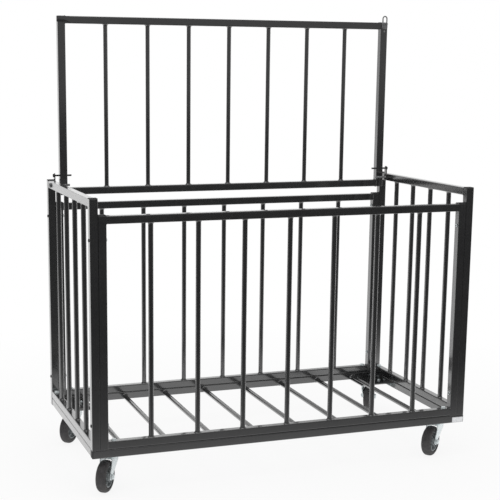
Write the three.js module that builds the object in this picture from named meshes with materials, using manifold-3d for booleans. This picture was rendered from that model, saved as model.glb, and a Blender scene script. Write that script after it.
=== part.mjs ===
// Rolling ball cage bin: five welded steel panels bolted up on a base frame with four
// swivel casters, and a barred lid that swings up about two pivot bolts at the rear.
// Millimetres, +Z up, front towards -Y, floor at Z = 0, the lid drawn fully open.

import * as THREE from 'three';
import { mergeVertices } from 'three/addons/utils/BufferGeometryUtils.js';
import Module from 'manifold-3d';

// Cage body
const CAGE_WIDTH = 1270;
const CAGE_DEPTH = 635;
const SIDE_PANEL_HEIGHT = 761.4;
const FRONT_PANEL_HEIGHT = 711.6;
const BACK_PANEL_HEIGHT = 684.6;

// Tubes and bars
const POST = 25.4;
const BASE_TUBE = 25.4;
const RAIL = 24.2;
const RAIL_DROP = 2.6;
const BOTTOM_RAIL = 24.2;
const TUBE_CORNER = 2.4;
const TUBE_CORNER_STEPS = 1;
const FLUSH_STEP = 0.6;
const BAR_DIAMETER = 16;
const FLOOR_ROD_DROP = 3;
const BAR_FACETS = 10;
const FRONT_BARS = 7;
const SIDE_BARS = 4;

// Lid, with the height of its pivot above the side panels
const LID_SIDE_RAIL = 25.4;
const LID_FROM_SIDE = 34;
const LID_FROM_BACK = 61.5;
const LID_SHORTER_THAN_CAGE = 46.4;
const LID_BARS = 7;
const LID_BAR_DIAMETER = 14.5;
const LID_BAR_PITCH = 146;
const LID_TAIL = 65.7;
const PIVOT_RISE = 16.7;
const PIVOT_DEPTH = 9.7;

// Hinge ears, pivot bolts and the bolts the open lid leans on
const EAR_THICKNESS = 3;
const EAR_INSET = 15.5;
const EAR_WIDTH = 16;
const EAR_ROOT = 5;
const EAR_STEPS = 4;
const PIVOT_BOLT = 6;
const PIVOT_BOLT_REACH = 15;
const PIVOT_HEAD_FLATS = 10;
const PIVOT_HEAD_HEIGHT = 4;
const STOP_BOLT = 8;
const STOP_BOLT_REACH = 6;
const STOP_GAP = 0.3;

// Landing plates of the closed lid behind the front posts, below the top of the front rail
const LANDING_REACH = 52;
const LANDING_OVERHANG = 8;
const REST_PLATE = 4;
const HASP_PLATE = 3;
const LANDING_INSET = 2;
const REST_DROP = 12.6;
const HASP_DROP = 18.1;
const HASP_HOLE = 8;
const HASP_HOLE_FROM_FRONT = 56;

// Plates on the lid's front corners
const PAD_LENGTH = 43.5;
const PAD_HEIGHT = 19;
const PAD_OVERHANG = 3.5;
const PAD_THICKNESS = 3;
const PAD_DROP = 1.2;
const EYE_PLATE_WIDTH = 22;
const EYE_PLATE_HEIGHT = 23;
const EYE_PLATE_CORNER = 5;
const EYE_PLATE_THICKNESS = 3;
const EYE_WIRE = 4.5;
const EYE_LOOP_WIDTH = 20;
const EYE_LOOP_RISE = 23.3;
const EYE_LEG_ROOT = 9;
const EYE_SETBACK = 0.25;
const EYE_BEND_STEPS = 8;
const EYE_WIRE_STEPS = 4;

// Corner bolts, base bolts and their nuts
const BOLT = 8;
const BOLT_HEAD_FLATS = 13;
const BOLT_HEAD_HEIGHT = 5.3;
const CORNER_BOLT = 6;
const DOME_DIAMETER = 10.5;
const DOME_HEIGHT = 2.6;
const DOME_EDGE = 0.87;
const DOME_CROWN = 0.5;
const CORNER_NUT_FLATS = 10;
const CORNER_NUT_HEIGHT = 3.2;
const CORNER_BOLT_TAIL = 0.6;
const LOW_BOLT_RISE = 75.6;
const FRONT_BOLT_DROP = 74;
const BACK_BOLT_DROP = 47;
const BASE_BOLT_FROM_POST = 19;
const BASE_BOLT_DEPTH = 18;
const BOLT_FACETS = 10;

// Clearances
const HOLE_CLEARANCE = 0.6;
const RUNNING_GAP = 0.5;
const SEAT_GAP = 0.3;
const WELD_OVERLAP = 0.5;

// Caster corner plates and casters
const CORNER_PLATE = 125;
const CORNER_PLATE_THICKNESS = 4;
const CASTER_FROM_SIDE = 68;
const CASTER_FROM_FRONT = 63.5;
const CASTER_PLATE_LENGTH = 84;
const CASTER_PLATE_WIDTH = 68;
const CASTER_PLATE_THICKNESS = 3;
const CASTER_PLATE_CORNER = 8;
const PLATE_CORNER_STEPS = 2;
const RACE_DIAMETER = 46;
const RACE_DEPTH = 5;
const RACE_STEP = 3;
const CROWN_RACE_DIAMETER = 42;
const CROWN_RACE_HEIGHT = 5.1;
const KINGPIN_DIAMETER = 10;
const KINGPIN_HEAD_DIAMETER = 18;
const KINGPIN_HEAD_HEIGHT = 3;
const FORK_SHEET = 3;
const FORK_BEND = 6;
const FORK_BEND_STEPS = 2;
const FORK_CROWN_FRONT = 23;
const FORK_CROWN_REAR = 30;
const FORK_SHOULDER = 12;
const FORK_BOSS = 11;
const FORK_BOSS_STEPS = 5;
const FORK_SIDE_GAP = 2;
const CROWN_CLEARANCE = 2;
const CASTER_TRAIL = 38;
const WHEEL_DIAMETER = 100;
const TYRE_WIDTH = 32;
const TYRE_THICKNESS = 15;
const TREAD_CORNER = 12;
const RIM_WIDTH = 28;
const RIM_THICKNESS = 5;
const WEB_THICKNESS = 9;
const HUB_DIAMETER = 28;
const HUB_SIDE_GAP = 0.5;
const AXLE_DIAMETER = 10;
const AXLE_HEAD_FLATS = 16;
const AXLE_HEAD_HEIGHT = 6.5;
const AXLE_TAIL = 2.5;
const WHEEL_FACETS = 24;
const RACE_FACETS = 14;

// Heading of each caster in degrees from +Y towards +X, from the wheel to its swivel
const CASTERS = [
  { place: 'front_left', side: -1, end: -1, heading: 35 },
  { place: 'front_right', side: 1, end: -1, heading: 52 },
  { place: 'back_left', side: -1, end: 1, heading: 39 },
  { place: 'back_right', side: 1, end: 1, heading: 215 },
];

// Derived levels and places
const HALF_WIDTH = CAGE_WIDTH / 2;
const HALF_DEPTH = CAGE_DEPTH / 2;
const WHEEL_RADIUS = WHEEL_DIAMETER / 2;
const FORK_INNER = TYRE_WIDTH + 2 * FORK_SIDE_GAP;
const CROWN_UNDERSIDE = WHEEL_DIAMETER + CROWN_CLEARANCE;
const CROWN_TOP = CROWN_UNDERSIDE + FORK_SHEET;
const CROWN_RACE_TOP = CROWN_TOP + CROWN_RACE_HEIGHT;
const RACE_BOTTOM = CROWN_RACE_TOP + RUNNING_GAP;
const RACE_TOP = RACE_BOTTOM + RACE_DEPTH;
const CASTER_TOP = RACE_TOP + CASTER_PLATE_THICKNESS;
const BASE_BOTTOM = CASTER_TOP - FLUSH_STEP;
const BASE_TOP = BASE_BOTTOM + BASE_TUBE;
const SIDE_TOP = BASE_TOP + SIDE_PANEL_HEIGHT;
const FRONT_TOP = BASE_TOP + FRONT_PANEL_HEIGHT;
const PANEL_WIDTH = CAGE_WIDTH - 2 * POST;
const PANEL_POST_X = PANEL_WIDTH / 2 - POST / 2;
const FRONT_BAR_PITCH = (PANEL_WIDTH - POST) / (FRONT_BARS + 1);
const SIDE_BAR_PITCH = (CAGE_DEPTH - POST) / (SIDE_BARS + 1);
const FLOOR_RODS = FRONT_BARS + 1;
const LID_WIDTH = CAGE_WIDTH - 2 * LID_FROM_SIDE;
const LID_LENGTH = CAGE_DEPTH - LID_SHORTER_THAN_CAGE;
const LID_FRONT_FACE = HALF_DEPTH - LID_FROM_BACK;
const PIVOT_Y = LID_FRONT_FACE + PIVOT_DEPTH;
const PIVOT_Z = SIDE_TOP + PIVOT_RISE;
const LID_BOTTOM = PIVOT_Z - LID_TAIL;
const LID_TOP = LID_BOTTOM + LID_LENGTH;
const LID_RAIL_X = LID_WIDTH / 2 - LID_SIDE_RAIL / 2;
const LID_MIDDLE_Y = LID_FRONT_FACE + LID_SIDE_RAIL / 2;
const STOP_Y = LID_FRONT_FACE - STOP_GAP - STOP_BOLT / 2;
const RAIL_INSET = FLUSH_STEP + RAIL / 2;
const RAIL_BELOW_TOP = RAIL_DROP + RAIL / 2;
const LOW_RAIL_INSET = FLUSH_STEP + BOTTOM_RAIL / 2;
const LOW_RAIL_MIDDLE = BASE_TOP + LOW_RAIL_INSET;
const LOW_RAIL_TOP = LOW_RAIL_MIDDLE + BOTTOM_RAIL / 2;
const STOP_Z = SIDE_TOP - RAIL_BELOW_TOP;
const BASE_BOLT_X = PANEL_WIDTH / 2 - POST - BASE_BOLT_FROM_POST;
const BASE_BOLT_Y = HALF_DEPTH - POST - BASE_BOLT_FROM_POST;
const BOLT_LINE_Y = HALF_DEPTH - POST / 2;
const FRONT_BOLT_RISE = FRONT_PANEL_HEIGHT - FRONT_BOLT_DROP;
const BACK_BOLT_RISE = BACK_PANEL_HEIGHT - BACK_BOLT_DROP;
const FRONT_FACE = -HALF_DEPTH;
const FRONT_POST_BACK = FRONT_FACE + POST;

// Finishes
function steelFinish(colour, roughness, metalness) {
  return new THREE.MeshStandardMaterial({ color: colour, roughness, metalness });
}
const blackPowderCoat = steelFinish(0x1c1d20, 0.32, 0.1);
const blackBolt = steelFinish(0x222326, 0.4, 0.6);
const zincPlate = steelFinish(0xb9bfc2, 0.3, 0.9);
const tyreRubber = steelFinish(0x2a2829, 0.75, 0);
const wheelCore = steelFinish(0x6d7375, 0.5, 0.1);

// Solid modelling
const wasm = await Module();
wasm.setup();

function solidOf(geometry) {
  const bare = new THREE.BufferGeometry();
  bare.setAttribute('position', geometry.getAttribute('position'));
  if (geometry.index) {
    bare.setIndex(geometry.index);
  }
  const merged = mergeVertices(bare, 1e-3);
  const vertProperties = new Float32Array(merged.getAttribute('position').array);
  const triVerts = new Uint32Array(merged.index.array);
  return new wasm.Manifold(new wasm.Mesh({ numProp: 3, vertProperties, triVerts }));
}

function geometryOf(solid) {
  const mesh = solid.getMesh();
  const geometry = new THREE.BufferGeometry();
  geometry.setAttribute('position', new THREE.Float32BufferAttribute(mesh.vertProperties, 3));
  geometry.setIndex(new THREE.BufferAttribute(new Uint32Array(mesh.triVerts), 1));
  return geometry;
}

function joined(geometries) {
  return geometries.map(solidOf).reduce((whole, piece) => whole.add(piece));
}

function cutBy(solid, geometries) {
  return geometries.map(solidOf).reduce((rest, tool) => rest.subtract(tool), solid);
}

// Turns a shape drawn along Z so that it lies along the named axis
function layAlong(geometry, axis) {
  if (axis === 'x') {
    geometry.rotateY(Math.PI / 2);
  }
  if (axis === 'y') {
    geometry.rotateX(-Math.PI / 2);
  }
  return geometry;
}

// Rectangle with rounded corners, centred on the origin
function roundedRectangle(width, height, corner) {
  const right = width / 2 - corner;
  const top = height / 2 - corner;
  const shape = new THREE.Shape();
  shape.absarc(right, top, corner, 0, Math.PI / 2);
  shape.absarc(-right, top, corner, Math.PI / 2, Math.PI);
  shape.absarc(-right, -top, corner, Math.PI, 1.5 * Math.PI);
  shape.absarc(right, -top, corner, 1.5 * Math.PI, 2 * Math.PI);
  shape.closePath();
  return shape;
}

function plate(shape, thickness, curveSegments) {
  return new THREE.ExtrudeGeometry(shape, { depth: thickness, bevelEnabled: false, curveSegments });
}

// Square tube along an axis, its middle at the given point
function squareTube(axis, size, length, x, y, z) {
  const geometry = plate(roundedRectangle(size, size, TUBE_CORNER), length, TUBE_CORNER_STEPS);
  geometry.translate(0, 0, -length / 2);
  return layAlong(geometry, axis).translate(x, y, z);
}

function roundBar(axis, diameter, length, x, y, z, facets = BAR_FACETS) {
  const geometry = new THREE.CylinderGeometry(diameter / 2, diameter / 2, length, facets);
  geometry.rotateX(Math.PI / 2);
  return layAlong(geometry, axis).translate(x, y, z);
}

function block(width, depth, height, x, y, z) {
  return new THREE.BoxGeometry(width, depth, height).translate(x, y, z);
}

function hole(axis, diameter, length, x, y, z) {
  return roundBar(axis, diameter + HOLE_CLEARANCE, length, x, y, z, BOLT_FACETS);
}

// Six-sided prism measured across its flats, standing on the XY plane
function hexPrism(flats, height, bore) {
  const radius = flats / Math.sqrt(3);
  const corners = [];
  for (let index = 0; index < 6; index += 1) {
    const angle = (index * Math.PI) / 3;
    corners.push(new THREE.Vector2(radius * Math.cos(angle), radius * Math.sin(angle)));
  }
  const shape = new THREE.Shape(corners);
  if (bore > 0) {
    const opening = new THREE.Path();
    opening.absarc(0, 0, bore / 2, 0, 2 * Math.PI, true);
    shape.holes.push(opening);
  }
  return plate(shape, height, BOLT_FACETS / 2);
}

// Evenly spaced places either side of the middle
function spread(count, pitch) {
  return Array.from({ length: count }, (unused, index) => (index - (count - 1) / 2) * pitch);
}

const bin = new THREE.Group();
bin.name = 'ball_cage_bin';

function addPiece(name, geometry, material) {
  const mesh = new THREE.Mesh(geometry, material);
  mesh.name = name;
  bin.add(mesh);
  return mesh;
}

// Bolts at one end of the cage sit near the floor and a little below the panel's top
function cornerBoltLevels(end) {
  const highRise = end < 0 ? FRONT_BOLT_RISE : BACK_BOLT_RISE;
  return [['lower', BASE_TOP + LOW_BOLT_RISE], ['upper', BASE_TOP + highRise]];
}

// Holes for the bolts that tie the side posts to the posts of the front and back panels
function cornerBoltHoles(side, end) {
  const middle = side * (HALF_WIDTH - POST);
  const row = end * BOLT_LINE_Y;
  return cornerBoltLevels(end).map(([, level]) => hole('x', CORNER_BOLT, 3 * POST, middle, row, level));
}

function baseBoltHole(x, y) {
  const length = 2 * BOTTOM_RAIL;
  return hole('z', BOLT, length, x, y, BASE_TOP - BASE_BOLT_DEPTH + length / 2);
}

function pivotHole(x, thickness) {
  return hole('x', PIVOT_BOLT, 2 * thickness, x, PIVOT_Y, PIVOT_Z);
}

// Side panel: two tall posts, two rails, four bars and a hinge ear on the top rail
function sidePanel(side) {
  const middle = BASE_TOP + SIDE_PANEL_HEIGHT / 2;
  const postX = side * (HALF_WIDTH - POST / 2);
  const railX = side * (HALF_WIDTH - RAIL_INSET);
  const lowRailX = side * (HALF_WIDTH - LOW_RAIL_INSET);
  const span = CAGE_DEPTH - POST;
  const pieces = [
    squareTube('z', POST, SIDE_PANEL_HEIGHT, postX, -BOLT_LINE_Y, middle),
    squareTube('z', POST, SIDE_PANEL_HEIGHT, postX, BOLT_LINE_Y, middle),
    squareTube('y', RAIL, span, railX, 0, STOP_Z),
    squareTube('y', BOTTOM_RAIL, span, lowRailX, 0, LOW_RAIL_MIDDLE),
  ];
  const barLength = STOP_Z - LOW_RAIL_MIDDLE;
  for (const y of spread(SIDE_BARS, SIDE_BAR_PITCH)) {
    pieces.push(roundBar('z', BAR_DIAMETER, barLength, railX, y, STOP_Z - barLength / 2));
  }
  pieces.push(hingeEar(side));
  const earX = side * (HALF_WIDTH - EAR_INSET - EAR_THICKNESS / 2);
  const cuts = [
    ...cornerBoltHoles(side, -1),
    ...cornerBoltHoles(side, 1),
    baseBoltHole(lowRailX, -BASE_BOLT_Y),
    baseBoltHole(lowRailX, BASE_BOLT_Y),
    pivotHole(earX, EAR_THICKNESS),
    hole('x', STOP_BOLT, 2 * POST, railX, STOP_Y, STOP_Z),
  ];
  return cutBy(joined(pieces), cuts);
}

// Upright strap with a round head, standing on the top rail around the pivot
function hingeEar(side) {
  const half = EAR_WIDTH / 2;
  const foot = SIDE_TOP - EAR_ROOT - PIVOT_Z;
  const outline = new THREE.Shape();
  outline.moveTo(-half, foot);
  outline.lineTo(half, foot);
  outline.lineTo(half, 0);
  outline.absarc(0, 0, half, 0, Math.PI);
  outline.closePath();
  const ear = plate(outline, EAR_THICKNESS, EAR_STEPS).translate(0, 0, -EAR_THICKNESS / 2);
  ear.rotateX(Math.PI / 2).rotateZ(Math.PI / 2);
  return ear.translate(side * (HALF_WIDTH - EAR_INSET - EAR_THICKNESS / 2), PIVOT_Y, PIVOT_Z);
}

// Front or back panel: two short posts, two rails and seven bars between the side panels
function endPanelPieces(end, height) {
  const middle = BASE_TOP + height / 2;
  const railY = end * (HALF_DEPTH - RAIL_INSET);
  const railZ = BASE_TOP + height - RAIL_BELOW_TOP;
  const lowRailY = end * (HALF_DEPTH - LOW_RAIL_INSET);
  const barLength = railZ - LOW_RAIL_MIDDLE;
  const span = 2 * PANEL_POST_X;
  const pieces = [
    squareTube('z', POST, height, -PANEL_POST_X, end * BOLT_LINE_Y, middle),
    squareTube('z', POST, height, PANEL_POST_X, end * BOLT_LINE_Y, middle),
    squareTube('x', RAIL, span, 0, railY, railZ),
    squareTube('x', BOTTOM_RAIL, span, 0, lowRailY, LOW_RAIL_MIDDLE),
  ];
  for (const x of spread(FRONT_BARS, FRONT_BAR_PITCH)) {
    pieces.push(roundBar('z', BAR_DIAMETER, barLength, x, railY, railZ - barLength / 2));
  }
  return pieces;
}

function endPanelHoles(end) {
  const lowRailY = end * (HALF_DEPTH - LOW_RAIL_INSET);
  return [
    ...cornerBoltHoles(-1, end),
    ...cornerBoltHoles(1, end),
    baseBoltHole(-BASE_BOLT_X, lowRailY),
    baseBoltHole(BASE_BOLT_X, lowRailY),
  ];
}

// The front posts carry a rest plate on the left and a pierced hasp plate on the right
function frontPanel() {
  const inner = PANEL_POST_X - POST / 2 - LANDING_OVERHANG;
  const outer = PANEL_POST_X + POST / 2 - LANDING_INSET;
  const width = outer - inner;
  const across = (inner + outer) / 2;
  const length = LANDING_REACH + 2 * WELD_OVERLAP;
  const along = FRONT_POST_BACK + LANDING_REACH - length / 2;
  const restZ = FRONT_TOP - REST_DROP - REST_PLATE / 2;
  const rest = block(width, length, REST_PLATE, -across, along, restZ);
  const haspZ = FRONT_TOP - HASP_DROP - HASP_PLATE / 2;
  const hasp = block(width, length, HASP_PLATE, across, along, haspZ);
  const solid = joined([...endPanelPieces(-1, FRONT_PANEL_HEIGHT), rest, hasp]);
  const haspHoleY = FRONT_FACE + HASP_HOLE_FROM_FRONT;
  const haspHole = hole('z', HASP_HOLE, 2 * HASP_PLATE, LID_RAIL_X, haspHoleY, haspZ);
  return cutBy(solid, [...endPanelHoles(-1), haspHole]);
}

function backPanel() {
  return cutBy(joined(endPanelPieces(1, BACK_PANEL_HEIGHT)), endPanelHoles(1));
}

// Base frame: four tubes, floor rods low between them and a plate in each corner for a caster
function baseFrame() {
  const level = BASE_BOTTOM + BASE_TUBE / 2;
  const longY = HALF_DEPTH - BASE_TUBE / 2;
  const shortX = HALF_WIDTH - BASE_TUBE / 2;
  const pieces = [
    squareTube('x', BASE_TUBE, CAGE_WIDTH, 0, -longY, level),
    squareTube('x', BASE_TUBE, CAGE_WIDTH, 0, longY, level),
    squareTube('y', BASE_TUBE - 2 * FLUSH_STEP, 2 * longY, -shortX, 0, level),
    squareTube('y', BASE_TUBE - 2 * FLUSH_STEP, 2 * longY, shortX, 0, level),
  ];
  for (const x of spread(FLOOR_RODS, FRONT_BAR_PITCH)) {
    pieces.push(roundBar('y', BAR_DIAMETER, 2 * longY, x, 0, level - FLOOR_ROD_DROP));
  }
  const reach = CORNER_PLATE - BASE_TUBE / 2;
  const plateZ = CASTER_TOP + CORNER_PLATE_THICKNESS / 2;
  const cuts = [];
  for (const { side, end } of CASTERS) {
    const x = side * (shortX - reach / 2);
    const y = end * (longY - reach / 2);
    pieces.push(block(reach, reach, CORNER_PLATE_THICKNESS, x, y, plateZ));
    cuts.push(baseBoltHole(side * BASE_BOLT_X, end * (HALF_DEPTH - LOW_RAIL_INSET)));
    cuts.push(baseBoltHole(side * (HALF_WIDTH - LOW_RAIL_INSET), end * BASE_BOLT_Y));
  }
  return cutBy(joined(pieces), cuts);
}

// Lid: four rails, seven bars, pivot holes near the tail and a rest pad on the left corner
function lidFrame() {
  const middle = LID_BOTTOM + LID_LENGTH / 2;
  const topZ = LID_TOP - RAIL_INSET;
  const lowZ = LID_BOTTOM + RAIL_INSET;
  const span = 2 * LID_RAIL_X;
  const pieces = [
    squareTube('z', LID_SIDE_RAIL, LID_LENGTH, -LID_RAIL_X, LID_MIDDLE_Y, middle),
    squareTube('z', LID_SIDE_RAIL, LID_LENGTH, LID_RAIL_X, LID_MIDDLE_Y, middle),
    squareTube('x', RAIL, span, 0, LID_MIDDLE_Y, topZ),
    squareTube('x', RAIL, span, 0, LID_MIDDLE_Y, lowZ),
  ];
  for (const x of spread(LID_BARS, LID_BAR_PITCH)) {
    pieces.push(roundBar('z', LID_BAR_DIAMETER, topZ - lowZ, x, LID_MIDDLE_Y, (topZ + lowZ) / 2));
  }
  const padX = -LID_WIDTH / 2 - PAD_OVERHANG + PAD_LENGTH / 2;
  const padDepth = PAD_THICKNESS + 2 * WELD_OVERLAP;
  const padY = LID_FRONT_FACE - PAD_THICKNESS + padDepth / 2;
  const padZ = LID_TOP - PAD_DROP - PAD_HEIGHT / 2;
  pieces.push(block(PAD_LENGTH, padDepth, PAD_HEIGHT, padX, padY, padZ));
  const cuts = [-1, 1].map((side) => pivotHole(side * LID_RAIL_X, LID_SIDE_RAIL));
  return cutBy(joined(pieces), cuts);
}

// Padlock eye: a rounded plate on the lid's right corner with a bent wire loop past its edge
function padlockEye() {
  const outline = roundedRectangle(EYE_PLATE_WIDTH, EYE_PLATE_HEIGHT, EYE_PLATE_CORNER);
  const backing = plate(outline, EYE_PLATE_THICKNESS, PLATE_CORNER_STEPS).rotateX(Math.PI / 2);
  backing.translate(LID_RAIL_X, LID_FRONT_FACE, LID_TOP - EYE_PLATE_HEIGHT / 2);
  const bend = (EYE_LOOP_WIDTH - EYE_WIRE) / 2;
  const legTop = EYE_LOOP_RISE - EYE_LOOP_WIDTH / 2;
  const knots = [new THREE.Vector3(-bend, 0, -EYE_LEG_ROOT)];
  for (let step = 0; step <= EYE_BEND_STEPS; step += 1) {
    const angle = Math.PI * (1 - step / EYE_BEND_STEPS);
    knots.push(new THREE.Vector3(bend * Math.cos(angle), 0, legTop + bend * Math.sin(angle)));
  }
  knots.push(new THREE.Vector3(bend, 0, -EYE_LEG_ROOT));
  const wire = wireAlong(knots, EYE_WIRE);
  wire.translate(LID_RAIL_X, LID_FRONT_FACE - EYE_SETBACK - EYE_WIRE / 2, LID_TOP);
  return joined([backing, wire]);
}

// Round wire swept along a smooth path through the given points
function wireAlong(knots, diameter) {
  const extrudePath = new THREE.CatmullRomCurve3(knots, false, 'chordal');
  const circle = new THREE.Shape();
  circle.absarc(0, 0, diameter / 2, 0, 2 * Math.PI);
  const steps = 2 * EYE_BEND_STEPS;
  return new THREE.ExtrudeGeometry(circle, { steps, extrudePath, curveSegments: EYE_WIRE_STEPS });
}

// Bolt along Z: head above the origin, shank below it
function hexBolt(flats, headHeight, diameter, length) {
  const head = hexPrism(flats, headHeight, 0);
  const shankLength = length + WELD_OVERLAP;
  const shank = roundBar('z', diameter, shankLength, 0, 0, WELD_OVERLAP - shankLength / 2, BOLT_FACETS);
  return joined([head, shank]);
}

// Dome-headed bolt along Z, as one revolved outline
function domeBolt(length) {
  const radius = DOME_DIAMETER / 2;
  const shank = CORNER_BOLT / 2;
  const outline = [
    new THREE.Vector2(0, -length),
    new THREE.Vector2(shank, -length),
    new THREE.Vector2(shank, 0),
    new THREE.Vector2(radius, 0),
    new THREE.Vector2(radius * DOME_EDGE, DOME_HEIGHT / 2),
    new THREE.Vector2(radius * DOME_CROWN, DOME_HEIGHT * DOME_EDGE),
    new THREE.Vector2(0, DOME_HEIGHT),
  ];
  return solidOf(new THREE.LatheGeometry(outline, BOLT_FACETS).rotateX(Math.PI / 2));
}

function addCornerBolts() {
  const length = 2 * POST + CORNER_NUT_HEIGHT + CORNER_BOLT_TAIL;
  for (const { place, side, end } of CASTERS) {
    for (const [level, z] of cornerBoltLevels(end)) {
      const bolt = geometryOf(domeBolt(length)).rotateY((side * Math.PI) / 2);
      bolt.translate(side * HALF_WIDTH, end * BOLT_LINE_Y, z);
      addPiece(`corner_bolt_${place}_${level}`, bolt, blackBolt);
      const nut = hexPrism(CORNER_NUT_FLATS, CORNER_NUT_HEIGHT, CORNER_BOLT + HOLE_CLEARANCE);
      nut.rotateY((-side * Math.PI) / 2);
      nut.translate(side * (HALF_WIDTH - 2 * POST), end * BOLT_LINE_Y, z);
      addPiece(`corner_nut_${place}_${level}`, geometryOf(solidOf(nut)), zincPlate);
    }
  }
}

function addBaseBolts() {
  const length = LOW_RAIL_TOP - BASE_TOP + BASE_BOLT_DEPTH - SEAT_GAP;
  for (const { place, side, end } of CASTERS) {
    const panelBolt = geometryOf(hexBolt(BOLT_HEAD_FLATS, BOLT_HEAD_HEIGHT, BOLT, length));
    panelBolt.translate(side * BASE_BOLT_X, end * (HALF_DEPTH - LOW_RAIL_INSET), LOW_RAIL_TOP);
    addPiece(`base_bolt_${place}_end`, panelBolt, zincPlate);
    const sideBolt = geometryOf(hexBolt(BOLT_HEAD_FLATS, BOLT_HEAD_HEIGHT, BOLT, length));
    sideBolt.translate(side * (HALF_WIDTH - LOW_RAIL_INSET), end * BASE_BOLT_Y, LOW_RAIL_TOP);
    addPiece(`base_bolt_${place}_side`, sideBolt, zincPlate);
  }
}

// Pivot bolts sit in the ears and reach through the lid rails; stop bolts cross in front of them
function addHingeBolts() {
  const lidInner = LID_WIDTH / 2 - LID_SIDE_RAIL;
  const earOuter = HALF_WIDTH - EAR_INSET;
  const pivotLength = earOuter - lidInner + PIVOT_BOLT_REACH;
  const railOuter = HALF_WIDTH - FLUSH_STEP;
  const stopLength = railOuter - lidInner + STOP_BOLT_REACH;
  for (const [word, side] of [['left', -1], ['right', 1]]) {
    const turn = (side * Math.PI) / 2;
    const pivot = geometryOf(hexBolt(PIVOT_HEAD_FLATS, PIVOT_HEAD_HEIGHT, PIVOT_BOLT, pivotLength));
    pivot.rotateY(turn).translate(side * earOuter, PIVOT_Y, PIVOT_Z);
    addPiece(`hinge_bolt_${word}`, pivot, blackBolt);
    const stop = geometryOf(hexBolt(BOLT_HEAD_FLATS, BOLT_HEAD_HEIGHT, STOP_BOLT, stopLength));
    stop.rotateY(turn).translate(side * railOuter, STOP_Y, STOP_Z);
    addPiece(`lid_stop_bolt_${word}`, stop, blackBolt);
  }
}

// Caster plate with the upper race and the kingpin, its swivel on the Z axis
function casterPlate() {
  const outline = roundedRectangle(CASTER_PLATE_LENGTH, CASTER_PLATE_WIDTH, CASTER_PLATE_CORNER);
  const top = plate(outline, CASTER_PLATE_THICKNESS, PLATE_CORNER_STEPS);
  top.translate(0, 0, RACE_TOP);
  const race = RACE_DIAMETER / 2;
  const pin = KINGPIN_DIAMETER / 2;
  const head = KINGPIN_HEAD_DIAMETER / 2;
  const headTop = CROWN_UNDERSIDE - RUNNING_GAP;
  const outlinePoints = [
    [0, headTop - KINGPIN_HEAD_HEIGHT],
    [head - KINGPIN_HEAD_HEIGHT, headTop - KINGPIN_HEAD_HEIGHT],
    [head, headTop - KINGPIN_HEAD_HEIGHT / 2],
    [head, headTop],
    [pin, headTop],
    [pin, RACE_BOTTOM],
    [race - RACE_STEP, RACE_BOTTOM],
    [race, RACE_BOTTOM + RACE_STEP],
    [race, RACE_TOP + WELD_OVERLAP],
    [0, RACE_TOP + WELD_OVERLAP],
  ];
  return joined([top, revolved(outlinePoints, RACE_FACETS)]);
}

function revolved(points, facets) {
  const outline = points.map(([radius, height]) => new THREE.Vector2(radius, height));
  return new THREE.LatheGeometry(outline, facets).rotateX(Math.PI / 2);
}

// Fork: a bent strip over the wheel trimmed to a slanting side outline, with the lower race on top.
// Drawn with the swivel on the Z axis and the wheel trailing towards -Y.
function casterFork() {
  const outer = FORK_INNER / 2 + FORK_SHEET;
  const inner = FORK_INNER / 2;
  const foot = WHEEL_RADIUS - 2 * FORK_BOSS;
  const bendInside = FORK_BEND - FORK_SHEET;
  const strip = new THREE.Shape();
  strip.moveTo(-outer, foot);
  strip.lineTo(-inner, foot);
  strip.lineTo(-inner, CROWN_UNDERSIDE - bendInside);
  strip.absarc(-inner + bendInside, CROWN_UNDERSIDE - bendInside, bendInside, Math.PI, Math.PI / 2, true);
  strip.absarc(inner - bendInside, CROWN_UNDERSIDE - bendInside, bendInside, Math.PI / 2, 0, true);
  strip.lineTo(inner, foot);
  strip.lineTo(outer, foot);
  strip.absarc(outer - FORK_BEND, CROWN_TOP - FORK_BEND, FORK_BEND, 0, Math.PI / 2);
  strip.absarc(-outer + FORK_BEND, CROWN_TOP - FORK_BEND, FORK_BEND, Math.PI / 2, Math.PI);
  strip.closePath();
  const run = 3 * CASTER_TRAIL;
  const bent = plate(strip, run, FORK_BEND_STEPS).rotateX(Math.PI / 2).translate(0, run / 2, 0);

  const side = new THREE.Shape();
  side.moveTo(FORK_CROWN_FRONT, CROWN_TOP + WELD_OVERLAP);
  side.lineTo(-FORK_CROWN_REAR, CROWN_TOP + WELD_OVERLAP);
  side.lineTo(-FORK_CROWN_REAR, CROWN_UNDERSIDE - FORK_SHOULDER);
  side.absarc(-CASTER_TRAIL, WHEEL_RADIUS, FORK_BOSS, Math.PI, 2 * Math.PI);
  side.lineTo(FORK_CROWN_FRONT, CROWN_UNDERSIDE - FORK_SHOULDER);
  side.closePath();
  const across = 2 * outer + FORK_SHEET;
  const trim = plate(side, across, FORK_BOSS_STEPS).translate(0, 0, -across / 2);
  trim.rotateX(Math.PI / 2).rotateZ(Math.PI / 2);

  const race = CROWN_RACE_DIAMETER / 2;
  const racePoints = [
    [0, CROWN_TOP - WELD_OVERLAP],
    [race, CROWN_TOP - WELD_OVERLAP],
    [race, CROWN_RACE_TOP - RACE_STEP],
    [race - RACE_STEP, CROWN_RACE_TOP],
    [0, CROWN_RACE_TOP],
  ];
  const body = solidOf(bent).intersect(solidOf(trim)).add(solidOf(revolved(racePoints, RACE_FACETS)));
  const pinBore = KINGPIN_DIAMETER + 2 * RUNNING_GAP;
  const pinHole = roundBar('z', pinBore, WHEEL_DIAMETER, 0, 0, CROWN_TOP, RACE_FACETS);
  const axleHole = hole('x', AXLE_DIAMETER, across, 0, -CASTER_TRAIL, WHEEL_RADIUS);
  return cutBy(body, [pinHole, axleHole]);
}

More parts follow.
